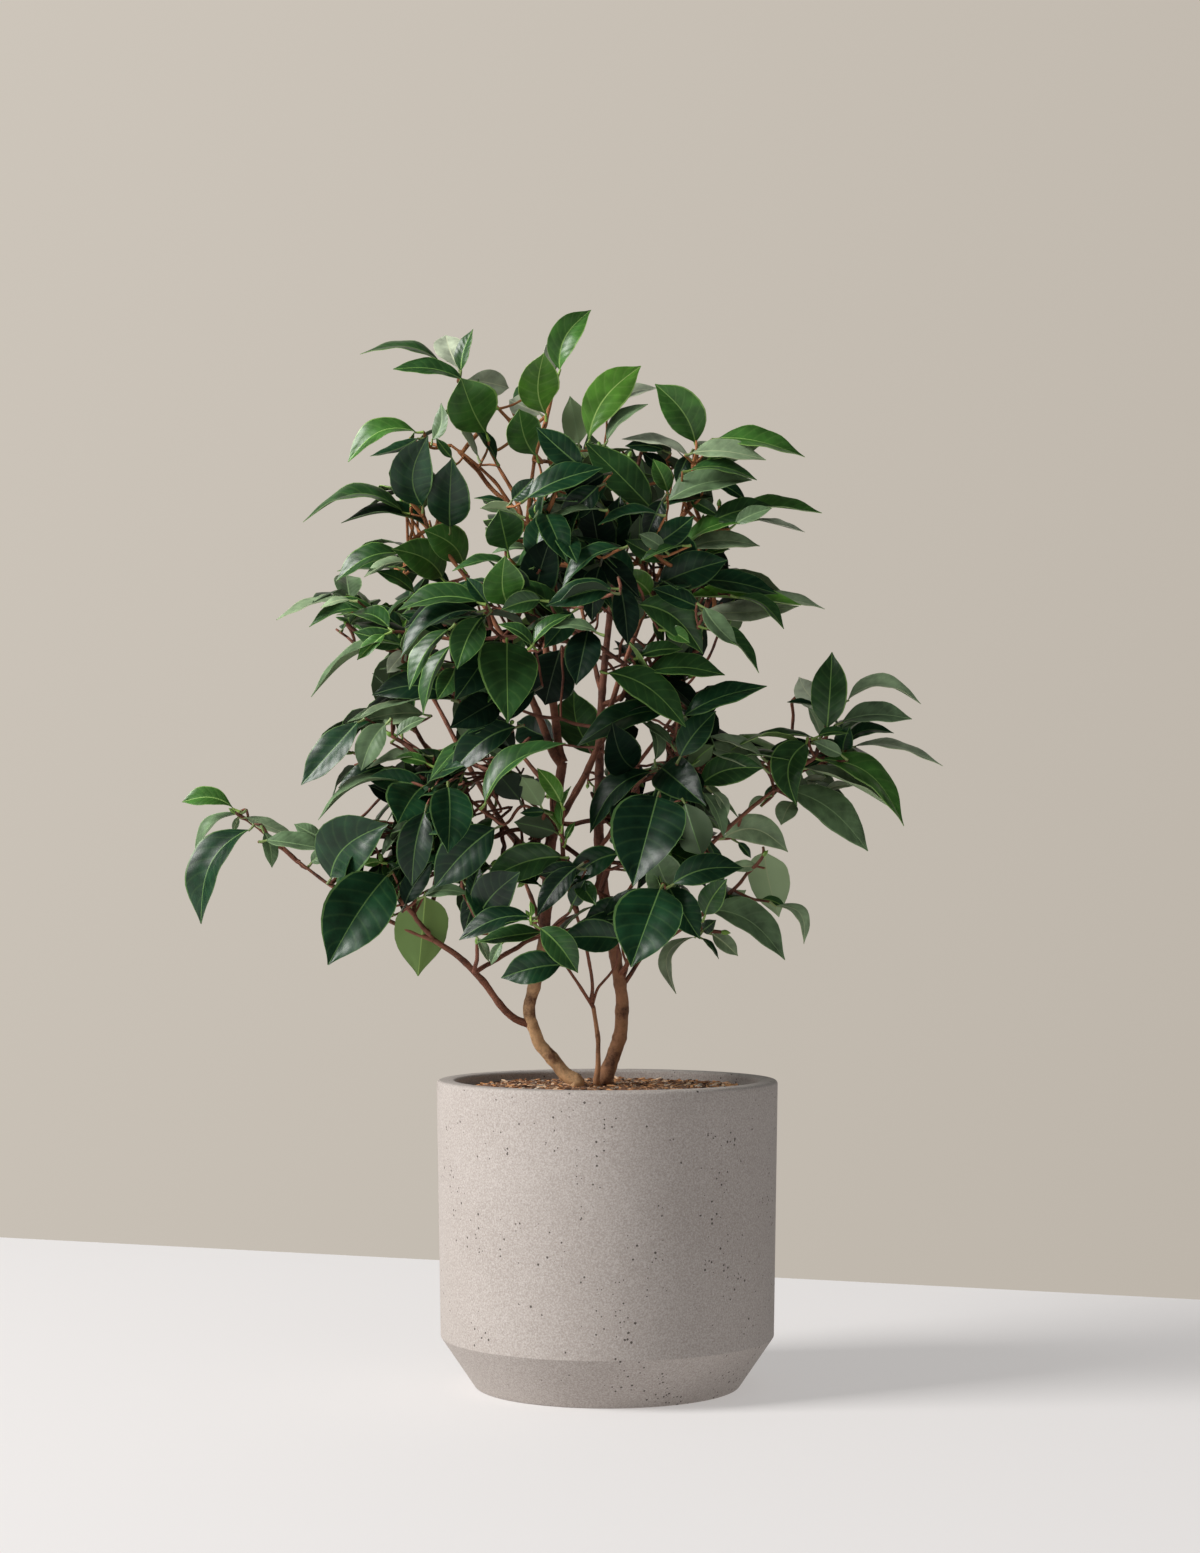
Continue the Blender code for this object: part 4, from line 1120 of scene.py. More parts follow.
def plain(name, colour, roughness, specular=0.5):
    """A material of one colour."""
    material = bpy.data.materials.new(name)
    material.use_nodes = True
    shader = material.node_tree.nodes["Principled BSDF"]
    feed(material.node_tree, shader.inputs["Base Color"], colour)
    shader.inputs["Roughness"].default_value = roughness
    shader.inputs["Specular IOR Level"].default_value = specular
    return material


def feed(tree, socket, value):
    """Gives a socket the output of a node, a colour or a number."""
    if isinstance(value, bpy.types.NodeSocket):
        tree.links.new(value, socket)
    elif isinstance(value, tuple):
        socket.default_value = (*value, 1)
    else:
        socket.default_value = value


def math_node(tree, operation, *values):
    """The output of a maths node. Each value is a socket or a number."""
    node = tree.nodes.new("ShaderNodeMath")
    node.operation = operation
    for socket, value in zip(node.inputs, values):
        feed(tree, socket, value)
    return node.outputs[0]


def noise_node(tree, vector, scale, detail, roughness=0.55):
    """The value of a noise texture."""
    node = tree.nodes.new("ShaderNodeTexNoise")
    for name, value in (("Scale", scale), ("Detail", detail), ("Roughness", roughness),
                        ("Vector", vector)):
        feed(tree, node.inputs[name], value)
    return node.outputs["Fac"]


def ramp_node(tree, value, stops):
    """The colour of a ramp. stops are (position, colour)."""
    node = tree.nodes.new("ShaderNodeValToRGB")
    points = node.color_ramp.elements
    while len(points) < len(stops):
        points.new(0.5)
    for point, (position, colour) in zip(points, stops):
        point.position = position
        point.color = (*colour, 1)
    feed(tree, node.inputs["Fac"], value)
    return node.outputs["Color"]


def mix_node(tree, share, a, b):
    """The colour that lies by a share of the way from a to b."""
    node = tree.nodes.new("ShaderNodeMix")
    node.data_type = "RGBA"
    for name, value in (("Factor", share), ("A", a), ("B", b)):
        feed(tree, node.inputs[name], value)
    return node.outputs["Result"]


def split_node(tree, kind, vector):
    """The three parts of a vector or colour."""
    node = tree.nodes.new(kind)
    feed(tree, node.inputs[0], vector)
    return tuple(node.outputs)


def dress(material, colour, height, strength, distance):
    """Gives a material's shader its colour and the relief of a height."""
    tree = material.node_tree
    shader = tree.nodes["Principled BSDF"]
    node = tree.nodes.new("ShaderNodeBump")
    for name, value in (("Strength", strength), ("Distance", distance), ("Height", height)):
        feed(tree, node.inputs[name], value)
    feed(tree, shader.inputs["Normal"], node.outputs["Normal"])
    feed(tree, shader.inputs["Base Color"], colour)


def object_places(tree):
    """The object's own coordinates."""
    return tree.nodes.new("ShaderNodeTexCoord").outputs["Object"]


def tinted(colour, share, other=WHITE):
    """A colour moved by a share towards another."""
    return tuple(c * (1 - share) + w * share for c, w in zip(colour, other))


VEIN_PAIRS = 8
VEIN_SLANT = 1.5
VEIN_POWER = 14
VEIN_SHOW = 0.13
MARGIN, MARGIN_SHOW = 0.93, 0.85
FLECK_DARK, FLECK_LIGHT, FLECK_STOPS = 0.62, 1.4, (0.3, 0.7)
FLECKS_PER_METRE, GRAIN_PER_METRE = 60, 300
VEIN_DEPTH, GRAIN_DEPTH = -0.6, 0.5
LEAF_RELIEF = (0.16, 0.001)
# Roughness and shine.
BELOW_FINISH, RIB_FINISH, STALK_FINISH = (0.6, 0.3), (0.45, 0.35), (0.45, 0.5)

# For each tone of leaf: its colours on top, below, on its ribs and on its stalk, then the
# roughness and the shine of its top.
TONES = {
    # Deep is painted shade, near-black.
    DEEP_SHADE: ((0.003, 0.012, 0.006), (0.012, 0.024, 0.013), (0.03, 0.06, 0.02), (0.06, 0.06, 0.03),
           0.5, 0.08),
    DIM: ((0.0045, 0.021, 0.009), (0.03, 0.05, 0.028), (0.07, 0.14, 0.04), (0.10, 0.12, 0.04),
          0.36, 0.3),
    DARK: ((0.007, 0.036, 0.013), (0.06, 0.095, 0.045), (0.09, 0.18, 0.05), (0.14, 0.19, 0.05),
           0.36, 0.36),
    MID: ((0.022, 0.072, 0.017), (0.10, 0.16, 0.065), (0.16, 0.30, 0.07), (0.20, 0.30, 0.06),
          0.36, 0.4),
    GREEN: ((0.044, 0.140, 0.020), (0.13, 0.21, 0.07), (0.23, 0.40, 0.10), (0.24, 0.37, 0.07),
            0.38, 0.42),
    BRIGHT: ((0.078, 0.215, 0.022), (0.17, 0.28, 0.08), (0.32, 0.50, 0.13), (0.28, 0.44, 0.08),
             0.38, 0.42),
    # Sage, pale and mist are painted sheen, far paler than a camellia leaf's own green.
    SAGE_SHEEN: ((0.105, 0.175, 0.082), (0.22, 0.31, 0.15), (0.24, 0.36, 0.17), (0.24, 0.33, 0.10),
           0.44, 0.4),
    PALE_SHEEN: ((0.22, 0.31, 0.17), (0.34, 0.46, 0.25), (0.42, 0.50, 0.28), (0.30, 0.38, 0.14),
           0.5, 0.3),
    MIST_SHEEN: ((0.44, 0.50, 0.36), (0.58, 0.62, 0.50), (0.60, 0.65, 0.45), (0.35, 0.42, 0.20),
           0.55, 0.2)}


def place_on_leaf(tree):
    """(across, along): how far a point is from the rib, 1 at the margin, and from the foot."""
    leaf_map = tree.nodes.new("ShaderNodeUVMap")
    leaf_map.uv_map = "OFBake"
    x, y, _ = split_node(tree, "ShaderNodeSeparateXYZ", leaf_map.outputs[0])
    x, along = (math_node(tree, "FRACT", math_node(tree, "MULTIPLY", axis, TILES)) for axis in (x, y))
    from_rib = math_node(tree, "ABSOLUTE", math_node(tree, "SUBTRACT", x, RIB_AT))
    return math_node(tree, "DIVIDE", from_rib, EDGE_AT), along


def leaf_top(name, colour, rib, roughness, shine):
    """The upper side of a leaf: slanting side veins, puckered between them, and mottled."""
    material = plain(name, colour, roughness, shine)
    tree = material.node_tree
    maths = partial(math_node, tree)
    across, along = place_on_leaf(tree)
    phase = maths("SUBTRACT", maths("MULTIPLY", along, VEIN_PAIRS), maths("MULTIPLY", across, VEIN_SLANT))
    wave = maths("COSINE", maths("MULTIPLY", phase, 2 * math.pi))
    ridge = maths("MULTIPLY_ADD", wave, 0.5, 0.5)
    vein = maths("MULTIPLY", maths("POWER", ridge, VEIN_POWER), VEIN_SHOW)
    margin = maths("MULTIPLY", maths("GREATER_THAN", across, MARGIN), MARGIN_SHOW)
    place = object_places(tree)
    flecks = zip(FLECK_STOPS, (tinted(colour, 1 - FLECK_DARK, BLACK), tuple(c * FLECK_LIGHT for c in colour)))
    body = ramp_node(tree, noise_node(tree, place, FLECKS_PER_METRE, 3), tuple(flecks))
    grain = noise_node(tree, place, GRAIN_PER_METRE, 2)
    height = maths("ADD", maths("MULTIPLY", ridge, VEIN_DEPTH), maths("MULTIPLY", grain, GRAIN_DEPTH))
    dress(material, mix_node(tree, maths("MAXIMUM", vein, margin), body, rib), height, *LEAF_RELIEF)
    return material


def leaf_materials():
    """For each tone of leaf, its materials for top, underside, rib and stalk."""
    palette = {}
    for tone, (top, below, rib, stem, roughness, shine) in TONES.items():
        palette[tone] = (leaf_top(f"leaf_top_{tone}", top, rib, roughness, shine),
                         plain(f"leaf_below_{tone}", below, *BELOW_FINISH),
                         plain(f"leaf_rib_{tone}", rib, *RIB_FINISH),
                         plain(f"leaf_stalk_{tone}", stem, *STALK_FINISH))
    return palette


BARK_STOPS, BARK_MIDDLE = (0.34, 0.5, 0.62), 0.3
BARK_PATCHES, BARK_GRAIN, PATCH_SHARE = (55, 4), (420, 4, 0.7), 0.7
BARK_FINISH, BARK_STRENGTH = (0.72, 0.3), 0.5
# Barks: the colours of their crests and of their cracks.
PALE_BARK = ((0.80, 0.50, 0.26), (0.16, 0.07, 0.035))
STEM_BARK = ((0.50, 0.25, 0.125), (0.07, 0.028, 0.018))
RED_BARK = ((0.26, 0.105, 0.065), (0.05, 0.022, 0.018))
BOUGH_BARK = ((0.30, 0.12, 0.07), (0.06, 0.025, 0.018))
YOUNG_BARK = ((0.44, 0.18, 0.07), (0.20, 0.07, 0.035))
# Old twig bark: old wood's darker brown, partly painted shade for twigs inside the crown.
OLD_SHADED_BARK = ((0.24, 0.09, 0.055), (0.08, 0.032, 0.023))
STEM_RELIEF, BOUGH_RELIEF, OLD_RELIEF, YOUNG_RELIEF = 0.0008, 0.0006, 0.0003, 0.0002
# Up the stems and the boughs one bark gives way to another between two heights.
RED_ALOFT = (0.33, 0.42, *RED_BARK)
YOUNG_ALOFT = (0.66, 0.76, *YOUNG_BARK)
BUD_COLOUR, BUD_ROUGHNESS = (0.20, 0.36, 0.06), 0.4


def bark_material(name, pale, dark, relief_depth, aloft=None):
    """Bark with darker patches and fine grain. aloft is (low, high, pale, dark): between these two
    heights its colours give way to others."""
    material = plain(name, pale, *BARK_FINISH)
    tree = material.node_tree
    maths = partial(math_node, tree)
    place = object_places(tree)
    grain = noise_node(tree, place, *BARK_GRAIN)
    both = maths("ADD", maths("MULTIPLY", noise_node(tree, place, *BARK_PATCHES), PATCH_SHARE),
                 maths("MULTIPLY", grain, 1 - PATCH_SHARE))

    def colours(crest, crack):
        shades = (crack, tinted(crest, BARK_MIDDLE, crack), crest)
        return ramp_node(tree, both, tuple(zip(BARK_STOPS, shades)))

    colour = colours(pale, dark)
    if aloft is not None:
        low, high, pale_aloft, dark_aloft = aloft
        _, _, height = split_node(tree, "ShaderNodeSeparateXYZ", place)
        share = maths("DIVIDE", maths("SUBTRACT", height, low), high - low)
        colour = mix_node(tree, share, colour, colours(pale_aloft, dark_aloft))
    dress(material, colour, grain, BARK_STRENGTH, relief_depth)
    return material


POT_COLOUR, POT_FINISH = (0.41, 0.365, 0.335), (0.82, 0.3)
POT_STOPS, POT_DARK, POT_LIGHT = (0.33, 0.5, 0.64), 0.22, 0.16
POT_MOTTLE, POT_SPECKLE, SPECKLE_SHARE = (9, 4), (640, 2, 0.8), 0.86
PINHOLE_COLOUR = (0.10, 0.085, 0.075)
PINHOLES_PER_METRE = 300
LARGEST_PINHOLE = 0.36
CLUSTERS, CLUSTER_FROM, CLUSTER_GAIN = (22, 3), 0.46, 3.0
SPECKLE_DEPTH, POT_RELIEF = 0.3, (0.5, 0.0006)


def pot_material():
    """Warm grey concrete: mottled, finely speckled, with pinholes in clusters."""
    material = plain("pot_concrete", POT_COLOUR, *POT_FINISH)
    tree = material.node_tree
    maths = partial(math_node, tree)
    place = object_places(tree)
    speckle = noise_node(tree, place, *POT_SPECKLE)
    both = maths("ADD", maths("MULTIPLY", noise_node(tree, place, *POT_MOTTLE), 1 - SPECKLE_SHARE),
                 maths("MULTIPLY", speckle, SPECKLE_SHARE))
    shades = (tinted(POT_COLOUR, POT_DARK, BLACK), POT_COLOUR, tinted(POT_COLOUR, POT_LIGHT))
    body = ramp_node(tree, both, tuple(zip(POT_STOPS, shades)))
    cells = tree.nodes.new("ShaderNodeTexVoronoi")
    feed(tree, cells.inputs["Scale"], PINHOLES_PER_METRE)
    feed(tree, cells.inputs["Vector"], place)
    chance, size, _ = split_node(tree, "ShaderNodeSeparateColor", cells.outputs["Color"])
    crowding = maths("SUBTRACT", noise_node(tree, place, *CLUSTERS), CLUSTER_FROM)
    crowding = maths("MULTIPLY", crowding, CLUSTER_GAIN)
    size = maths("MULTIPLY", size, LARGEST_PINHOLE)
    hole = maths("MULTIPLY", maths("LESS_THAN", chance, crowding),
                 maths("LESS_THAN", cells.outputs["Distance"], size))
    height = maths("SUBTRACT", maths("MULTIPLY", speckle, SPECKLE_DEPTH), hole)
    dress(material, mix_node(tree, hole, body, PINHOLE_COLOUR), height, *POT_RELIEF)
    return material


# ---------------------------------------------------------------- stems and boughs

STEM_SIDES, BOUGH_SIDES = 30, 16
STEM_STEP, BOUGH_STEP = 0.0014, 0.002
LINE_STRIDE = 4
SUNK = 0.005
FLARE, FLARE_HEIGHT = 0.15, 0.007
COLLAR, COLLAR_LENGTH = 0.35, 0.007
KNOT_SPACING = 0.031
KNOT_SWELL = 0.13
KNOT_LENGTH = 0.004
KNOT_SHIFT, KNOT_TURN = 0.3, 7.1
LUMPS, FINE_LUMPS = 0.09, 0.05
LUMPS_PER_METRE, FINE_LUMPS_PER_METRE = 70, 330
RADIUS_SMOOTHING = 3
PALE_STEM = "stem_left"
# Thin forks that show by the stems: how deep they stand, and their line in pixels.
FORKS = ((-0.009, ((592, 1007), (597, 990), (603, 982), (610, 974), (616, 964), (618, 948))),
         (0.018, ((622, 984), (625, 975), (627, 966), (623, 953), (622, 940))))
FORK_RADIUS, FORK_TAPER = 0.0014, 0.75


def relief(place, seed):
    """How far bark stands out at a place, as a share of the limb's radius."""
    broad = noise.noise(Vector(place) * LUMPS_PER_METRE + Vector((seed, 0, 0)))
    fine = noise.noise(Vector(place) * FINE_LUMPS_PER_METRE + Vector((0, seed, 0)))
    return 1 + LUMPS * broad + FINE_LUMPS * fine


def limb_rings(limb, sides, step, seed):
    """The rings of a limb with its bark: lumps, knots, a collar at its fork, a flare at its foot."""
    points = [*limb.line[::LINE_STRIDE], limb.line[-1]]
    if (points[-1] - points[-2]).length < SECTION_STEP:
        del points[-2]
    line = smooth_line(points, step)
    along = np.concatenate(([0], np.cumsum(np.linalg.norm(np.diff(line, axis=0), axis=1))))
    window = np.ones(2 * RADIUS_SMOOTHING + 1)
    padded = np.pad(limb.radii, RADIUS_SMOOTHING, mode="edge")
    radii = np.convolve(padded, window / len(window), mode="valid")
    radii = np.interp(along / along[-1], np.linspace(0, 1, len(radii)), radii)
    if limb.parent is None:
        line = np.concatenate(([line[0] - (0, 0, SUNK)], line))
        radii = np.concatenate(([radii[0]], radii))
        along = np.concatenate(([0], along))
        radii = radii * (1 + FLARE * np.exp(-along / FLARE_HEIGHT))
    else:
        radii = radii * (1 + COLLAR * np.exp(-along / COLLAR_LENGTH))
    spots = np.arange(1, along[-1] / KNOT_SPACING) * KNOT_SPACING
    for number, spot in enumerate(spots):
        spot += KNOT_SHIFT * KNOT_SPACING * math.sin(KNOT_TURN * number + seed)
        radii = radii * (1 + KNOT_SWELL * np.exp(-((along - spot) / KNOT_LENGTH) ** 2))
    rings = tube(line, radii, sides)
    centres = line[:, None]
    rough = np.array([[relief(place, seed) for place in ring] for ring in rings])
    return centres + (rings - centres) * rough[:, :, None]


def build_limbs():
    """The stems and boughs with bark, in place of the frame's. The first stem material is the pale one."""
    stems, boughs = Skin(), Skin()
    for seed, limb in enumerate(limbs.values()):
        if limb.parent is None:
            stems.add(limb_rings(limb, STEM_SIDES, STEM_STEP, seed), limb.name != PALE_STEM)
        else:
            boughs.add(limb_rings(limb, BOUGH_SIDES, BOUGH_STEP, seed))
    for depth, line in FORKS:
        places = smooth_line([seen(px, py, depth) for px, py in line], BOUGH_STEP)
        radii = np.linspace(FORK_RADIUS, FORK_RADIUS * FORK_TAPER, len(places))
        boughs.add(tube(places, radii, BOUGH_SIDES))
    pale_bark = bark_material("stem_bark_pale", *PALE_BARK, STEM_RELIEF, RED_ALOFT)
    stem_bark = bark_material("stem_bark", *STEM_BARK, STEM_RELIEF, RED_ALOFT)
    bough_bark = bark_material("bough_bark", *BOUGH_BARK, BOUGH_RELIEF, YOUNG_ALOFT)
    stem_piece = stems.make("stems_bark", [pale_bark, stem_bark])
    bough_piece = boughs.make("boughs_bark", [bough_bark])
    own(stem_piece, [n for n in limbs if limbs[n].parent is None])
    own(bough_piece, [n for n in limbs if limbs[n].parent is not None])


def own(piece, nodes):
    """The piece rides with the plant and stands for the nodes."""
    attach(piece, "root")
    if nodes:
        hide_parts(*nodes)


# ---------------------------------------------------------------- crown

BACK_FROM = 0.1
YOUNG_MASSES = ("mass_top", "mass_top_left", "mass_top_right", "mass_middle_front")


def crown_groups():
    """Which masses go in which piece."""
    groups = {"young": [n for n in masses if n in YOUNG_MASSES]}
    for name in masses:
        if name in YOUNG_MASSES:
            continue
        middle = masses[name].centre
        side = "left" if middle.x < CROWN_MIDDLE.x else "right"
        side = "back" if middle.y > BACK_FROM else side
        height = "high" if middle.z > CROWN_MIDDLE.z else "low"
        groups.setdefault(f"{side}_{height}", []).append(name)
    return groups


def build_crown():
    """Leaves and twigs for every mass."""
    palette = leaf_materials()
    young = bark_material("young_twig", *YOUNG_BARK, YOUNG_RELIEF)
    old = bark_material("old_twig", *OLD_SHADED_BARK, OLD_RELIEF)
    bud = plain("leaf_bud", BUD_COLOUR, BUD_ROUGHNESS)
    found, screen = shown_leaves()
    crowd = Crowd(leaf for leaves in found.values() for leaf in leaves)
    for group, names in crown_groups().items():
        skin, leaves = Skin(), []
        for name in names:
            twigs, grown = grow_mass(name, found.get(name, []), crowd, screen)
            add_twigs(skin, twigs)
            leaves += grown
        leaf_object = leaf_piece(f"leaves_{group}", leaves, palette)
        own(leaf_object, names)
        twig_object = skin.make(f"twigs_{group}", [young, old, bud])
        own(twig_object, [])


# ---------------------------------------------------------------- pot and potting mix

POT_SIDES = 192
RIM_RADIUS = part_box("pot")[1][0]
POT_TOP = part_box("pot")[1][2]
SHOULDER_RADIUS = 0.151
SHOULDER_HEIGHT = 0.0463
FOOT_RADIUS = 0.1194
WALL = 0.0175
POT_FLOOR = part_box("potting_mix")[0][2]
EDGE = 0.0035
EDGE_STEPS = 7
FOOT_ANGLES, SHOULDER_ANGLES = (-90, -35), (-35, 2)
SHOULDER_EDGE = 0.0012
POT_STEP = 0.02
POT_SHARP = math.radians(28)


def arc(centre, radius, start, end):
    """Points of an arc, by angles in degrees."""
    angles = [math.radians(start + (end - start) * i / EDGE_STEPS) for i in range(EDGE_STEPS + 1)]
    return [(centre[0] + radius * math.cos(a), centre[1] + radius * math.sin(a)) for a in angles]


def turned(name, profile, material):
    """A profile of (radius, height) turned about the pot's axis. It starts and ends on the axis."""
    corners = [(0, 0, profile[0][1])]
    for radius, height in profile[1:-1]:
        corners += [(radius * math.cos(2 * math.pi * i / POT_SIDES),
                     radius * math.sin(2 * math.pi * i / POT_SIDES), height) for i in range(POT_SIDES)]
    corners.append((0, 0, profile[-1][1]))
    rings = len(profile) - 2
    faces, _ = tube_faces(rings, POT_SIDES, 1)
    last = 1 + (rings - 1) * POT_SIDES
    for i in range(POT_SIDES):
        faces.append((0, 1 + (i + 1) % POT_SIDES, 1 + i))
        faces.append((last + i, last + (i + 1) % POT_SIDES, len(corners) - 1))
    return put_in_scene(name, corners, faces, [material], sharp=POT_SHARP)


def refine(profile, step):
    """The profile with no straight run longer than a step."""
    fine = [profile[0]]
    for a, b in zip(profile, profile[1:]):
        count = max(1, round(math.dist(a, b) / step))
        fine += [(a[0] + (b[0] - a[0]) * i / count, a[1] + (b[1] - a[1]) * i / count)
                 for i in range(1, count + 1)]
    return fine


def build_pot():
    """The concrete pot, turned finely."""
    inner = RIM_RADIUS - WALL
    floor_radius = FOOT_RADIUS + POT_FLOOR / SHOULDER_HEIGHT * (SHOULDER_RADIUS - FOOT_RADIUS) - WALL
    profile = [(0, 0)]
    profile += arc((FOOT_RADIUS - EDGE / 2, EDGE), EDGE, *FOOT_ANGLES)
    profile += arc((SHOULDER_RADIUS - SHOULDER_EDGE, SHOULDER_HEIGHT), SHOULDER_EDGE, *SHOULDER_ANGLES)
    profile += arc((RIM_RADIUS - EDGE, POT_TOP - EDGE), EDGE, 0, 90)
    profile += arc((inner + EDGE, POT_TOP - EDGE), EDGE, 90, 180)
    profile += [(inner, SHOULDER_HEIGHT + WALL), (floor_radius, POT_FLOOR), (0, POT_FLOOR)]
    pot = turned("pot_body", refine(profile, POT_STEP), pot_material())
    own(pot, ["pot"])


MIX_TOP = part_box("potting_mix")[1][2]
MIX_EDGE = 0.268
MIX_GAP, MIX_DEPTH = 0.0004, 0.02
MIX_RADIUS = RIM_RADIUS - WALL - MIX_GAP
MIX_LEVEL = 0.045
MIX_RINGS, MIX_SIDES = 60, 150
# Unevenness: (height, how many to a metre).
MIX_HUMPS = ((0.0016, 45), (0.0012, 160))
MIX_CRUMBS = (0.0009, 420)
MIX_SUNK = 0.001
MIX_SHARP, CHIP_SHARP = math.radians(70), math.radians(35)
BED_COLOUR, BED_ROUGHNESS, CHIP_FINISH = (0.20, 0.095, 0.05), 0.95, (0.9, 0.2)
CHIPS = 3000
CHIP_COLOURS = {"mix_dark": (0.09, 0.045, 0.028), "mix_brown": (0.38, 0.18, 0.085),
                "mix_orange": (0.75, 0.38, 0.17), "mix_tan": (0.88, 0.63, 0.42),
                "mix_grey": (0.55, 0.47, 0.38)}
CHIP_SHARES = (0.2, 0.26, 0.28, 0.2, 0.06)
CHIP_LENGTHS, LONG_CHIPS, SHORTER = (0.002, 0.009), 0.4, 0.55
CHIP_CLEAR = 0.001
CHIP_TILT = 0.35
CHIP_WIDTHS, CHIP_THICKNESSES = (0.3, 0.6), (0.12, 0.3)
CHIP_ROUGH = (0.75, 1.15)
CHIP_RINGS, CHIP_SIDES, CHIP_TURN = ((-0.5, 0.55), (-0.2, 1), (0.2, 0.95), (0.5, 0.5)), 5, 0.3
CHIP_LIFT = 0.3


def humps(x, y, height, per_metre):
    """Unevenness of this height at a place."""
    return height * noise.noise(Vector((x, y, 0)) * per_metre)


def mix_height(x, y):
    """Height of the potting mix, before its crumbs."""
    reach = math.hypot(x, y)
    share = min(1, max(0, (MIX_RADIUS - reach) / (MIX_RADIUS - MIX_LEVEL)))
    height = MIX_EDGE + (MIX_TOP - MIX_EDGE) * share
    for hump in MIX_HUMPS:
        height += humps(x, y, *hump)
    return height - MIX_SUNK


def build_mix_bed():
    """The uneven bed of the potting mix, closed below its surface."""
    corners = [(0, 0, mix_height(0, 0))]
    for ring in range(1, MIX_RINGS + 1):
        reach = MIX_RADIUS * ring / MIX_RINGS
        for i in range(MIX_SIDES):
            angle = 2 * math.pi * i / MIX_SIDES
            x, y = reach * math.cos(angle), reach * math.sin(angle)
            corners.append((x, y, mix_height(x, y) + humps(x, y, *MIX_CRUMBS)))
    faces, _ = tube_faces(MIX_RINGS, MIX_SIDES, 1)
    faces += [(0, 1 + i, 1 + (i + 1) % MIX_SIDES) for i in range(MIX_SIDES)]
    low = 1 + (MIX_RINGS - 1) * MIX_SIDES
    base = len(corners)
    corners += [(x, y, MIX_EDGE - MIX_DEPTH) for x, y, _ in corners[low:]]
    for i in range(MIX_SIDES):
        j = (i + 1) % MIX_SIDES
        faces.append((low + i, base + i, base + j, low + j))
    faces.append(tuple(range(base + MIX_SIDES - 1, base - 1, -1)))
    bed_material = plain("mix_bed", BED_COLOUR, BED_ROUGHNESS)
    bed = put_in_scene("mix_bed", corners, faces, [bed_material], sharp=MIX_SHARP)
    own(bed, ["potting_mix"])


def build_mix_chips():
    """Chips of bark strewn over the bed."""
    rng = random.Random("chips")
    materials = [plain(name, colour, *CHIP_FINISH) for name, colour in CHIP_COLOURS.items()]
    skin = Skin()
    for _ in range(CHIPS):
        reach, angle = MIX_RADIUS * math.sqrt(rng.random()), rng.uniform(0, 2 * math.pi)
        kind = rng.choices(range(len(materials)), CHIP_SHARES)[0]
        length = rng.uniform(*CHIP_LENGTHS) * (1 if rng.random() < LONG_CHIPS else SHORTER)
        if reach + length / 2 > MIX_RADIUS - CHIP_CLEAR:
            continue
        x, y = reach * math.cos(angle), reach * math.sin(angle)
        skin.add(chip(Vector((x, y, mix_height(x, y))), length, rng), kind)
    chips = skin.make("mix_chips", materials, sharp=CHIP_SHARP)
    own(chips, [])


def chip(place, length, rng):
    """The rings of a rough chip of bark."""
    turn, tilt = rng.uniform(0, 2 * math.pi), rng.uniform(-CHIP_TILT, CHIP_TILT)
    ahead = Vector((math.cos(turn), math.sin(turn), tilt)).normalized()
    width, thick = length * rng.uniform(*CHIP_WIDTHS), length * rng.uniform(*CHIP_THICKNESSES)
    side = ahead.cross(UP).normalized()
    up = side.cross(ahead)
    rings = []
    for share, size in CHIP_RINGS:
        ring = []
        for i in range(CHIP_SIDES):
            angle = 2 * math.pi * i / CHIP_SIDES + CHIP_TURN
            wide = width / 2 * size * rng.uniform(*CHIP_ROUGH) * math.cos(angle)
            high = thick / 2 * size * rng.uniform(*CHIP_ROUGH) * math.sin(angle) + thick * CHIP_LIFT
            ring.append(place + ahead * length * share + side * wide + up * high)
        rings.append(ring)
    return np.array(rings)


# ---------------------------------------------------------------- stage, light and camera

# The backdrop glows. Its painted light runs from bright at the left and top to dim at the right and bottom.
WALL_BRIGHT = (0.610, 0.558, 0.491)
WALL_DIM = (0.509, 0.462, 0.402)
WALL_SPREAD = 0.428
WALL_TOP, WALL_DROP = 0.31, 0.43
WALL_SHARES = (0.67, 0.33)
FLOOR_COLOUR, FLOOR_FINISH = (0.46, 0.45, 0.45), (0.9, 0.2)
FLOOR_GLOW = (0.36, 0.345, 0.335)
FLOOR_REACH, BACKDROP_REACH = 9, 40
# Two points of the line where the photograph's floor meets its wall.
WALL_LEFT = Vector((-0.78, 1.08, 0))
WALL_RIGHT = Vector((0.66, 0.525, 0))
DOME_REACH, DOME_SIDES = 30, 24
SHEEN_PLACE, SHEEN_REACH = Vector((0, 5, 3)), 4.5
DAYLIGHT = (0.28, 0.285, 0.29)
KEY_PLACE, KEY_TARGET = Vector((-5.26, -1.92, 3.7)), Vector((0, 0, 0.45))
KEY_SIZE, KEY_POWER, KEY_COLOUR = 2.6, 565, (1, 0.985, 0.965)


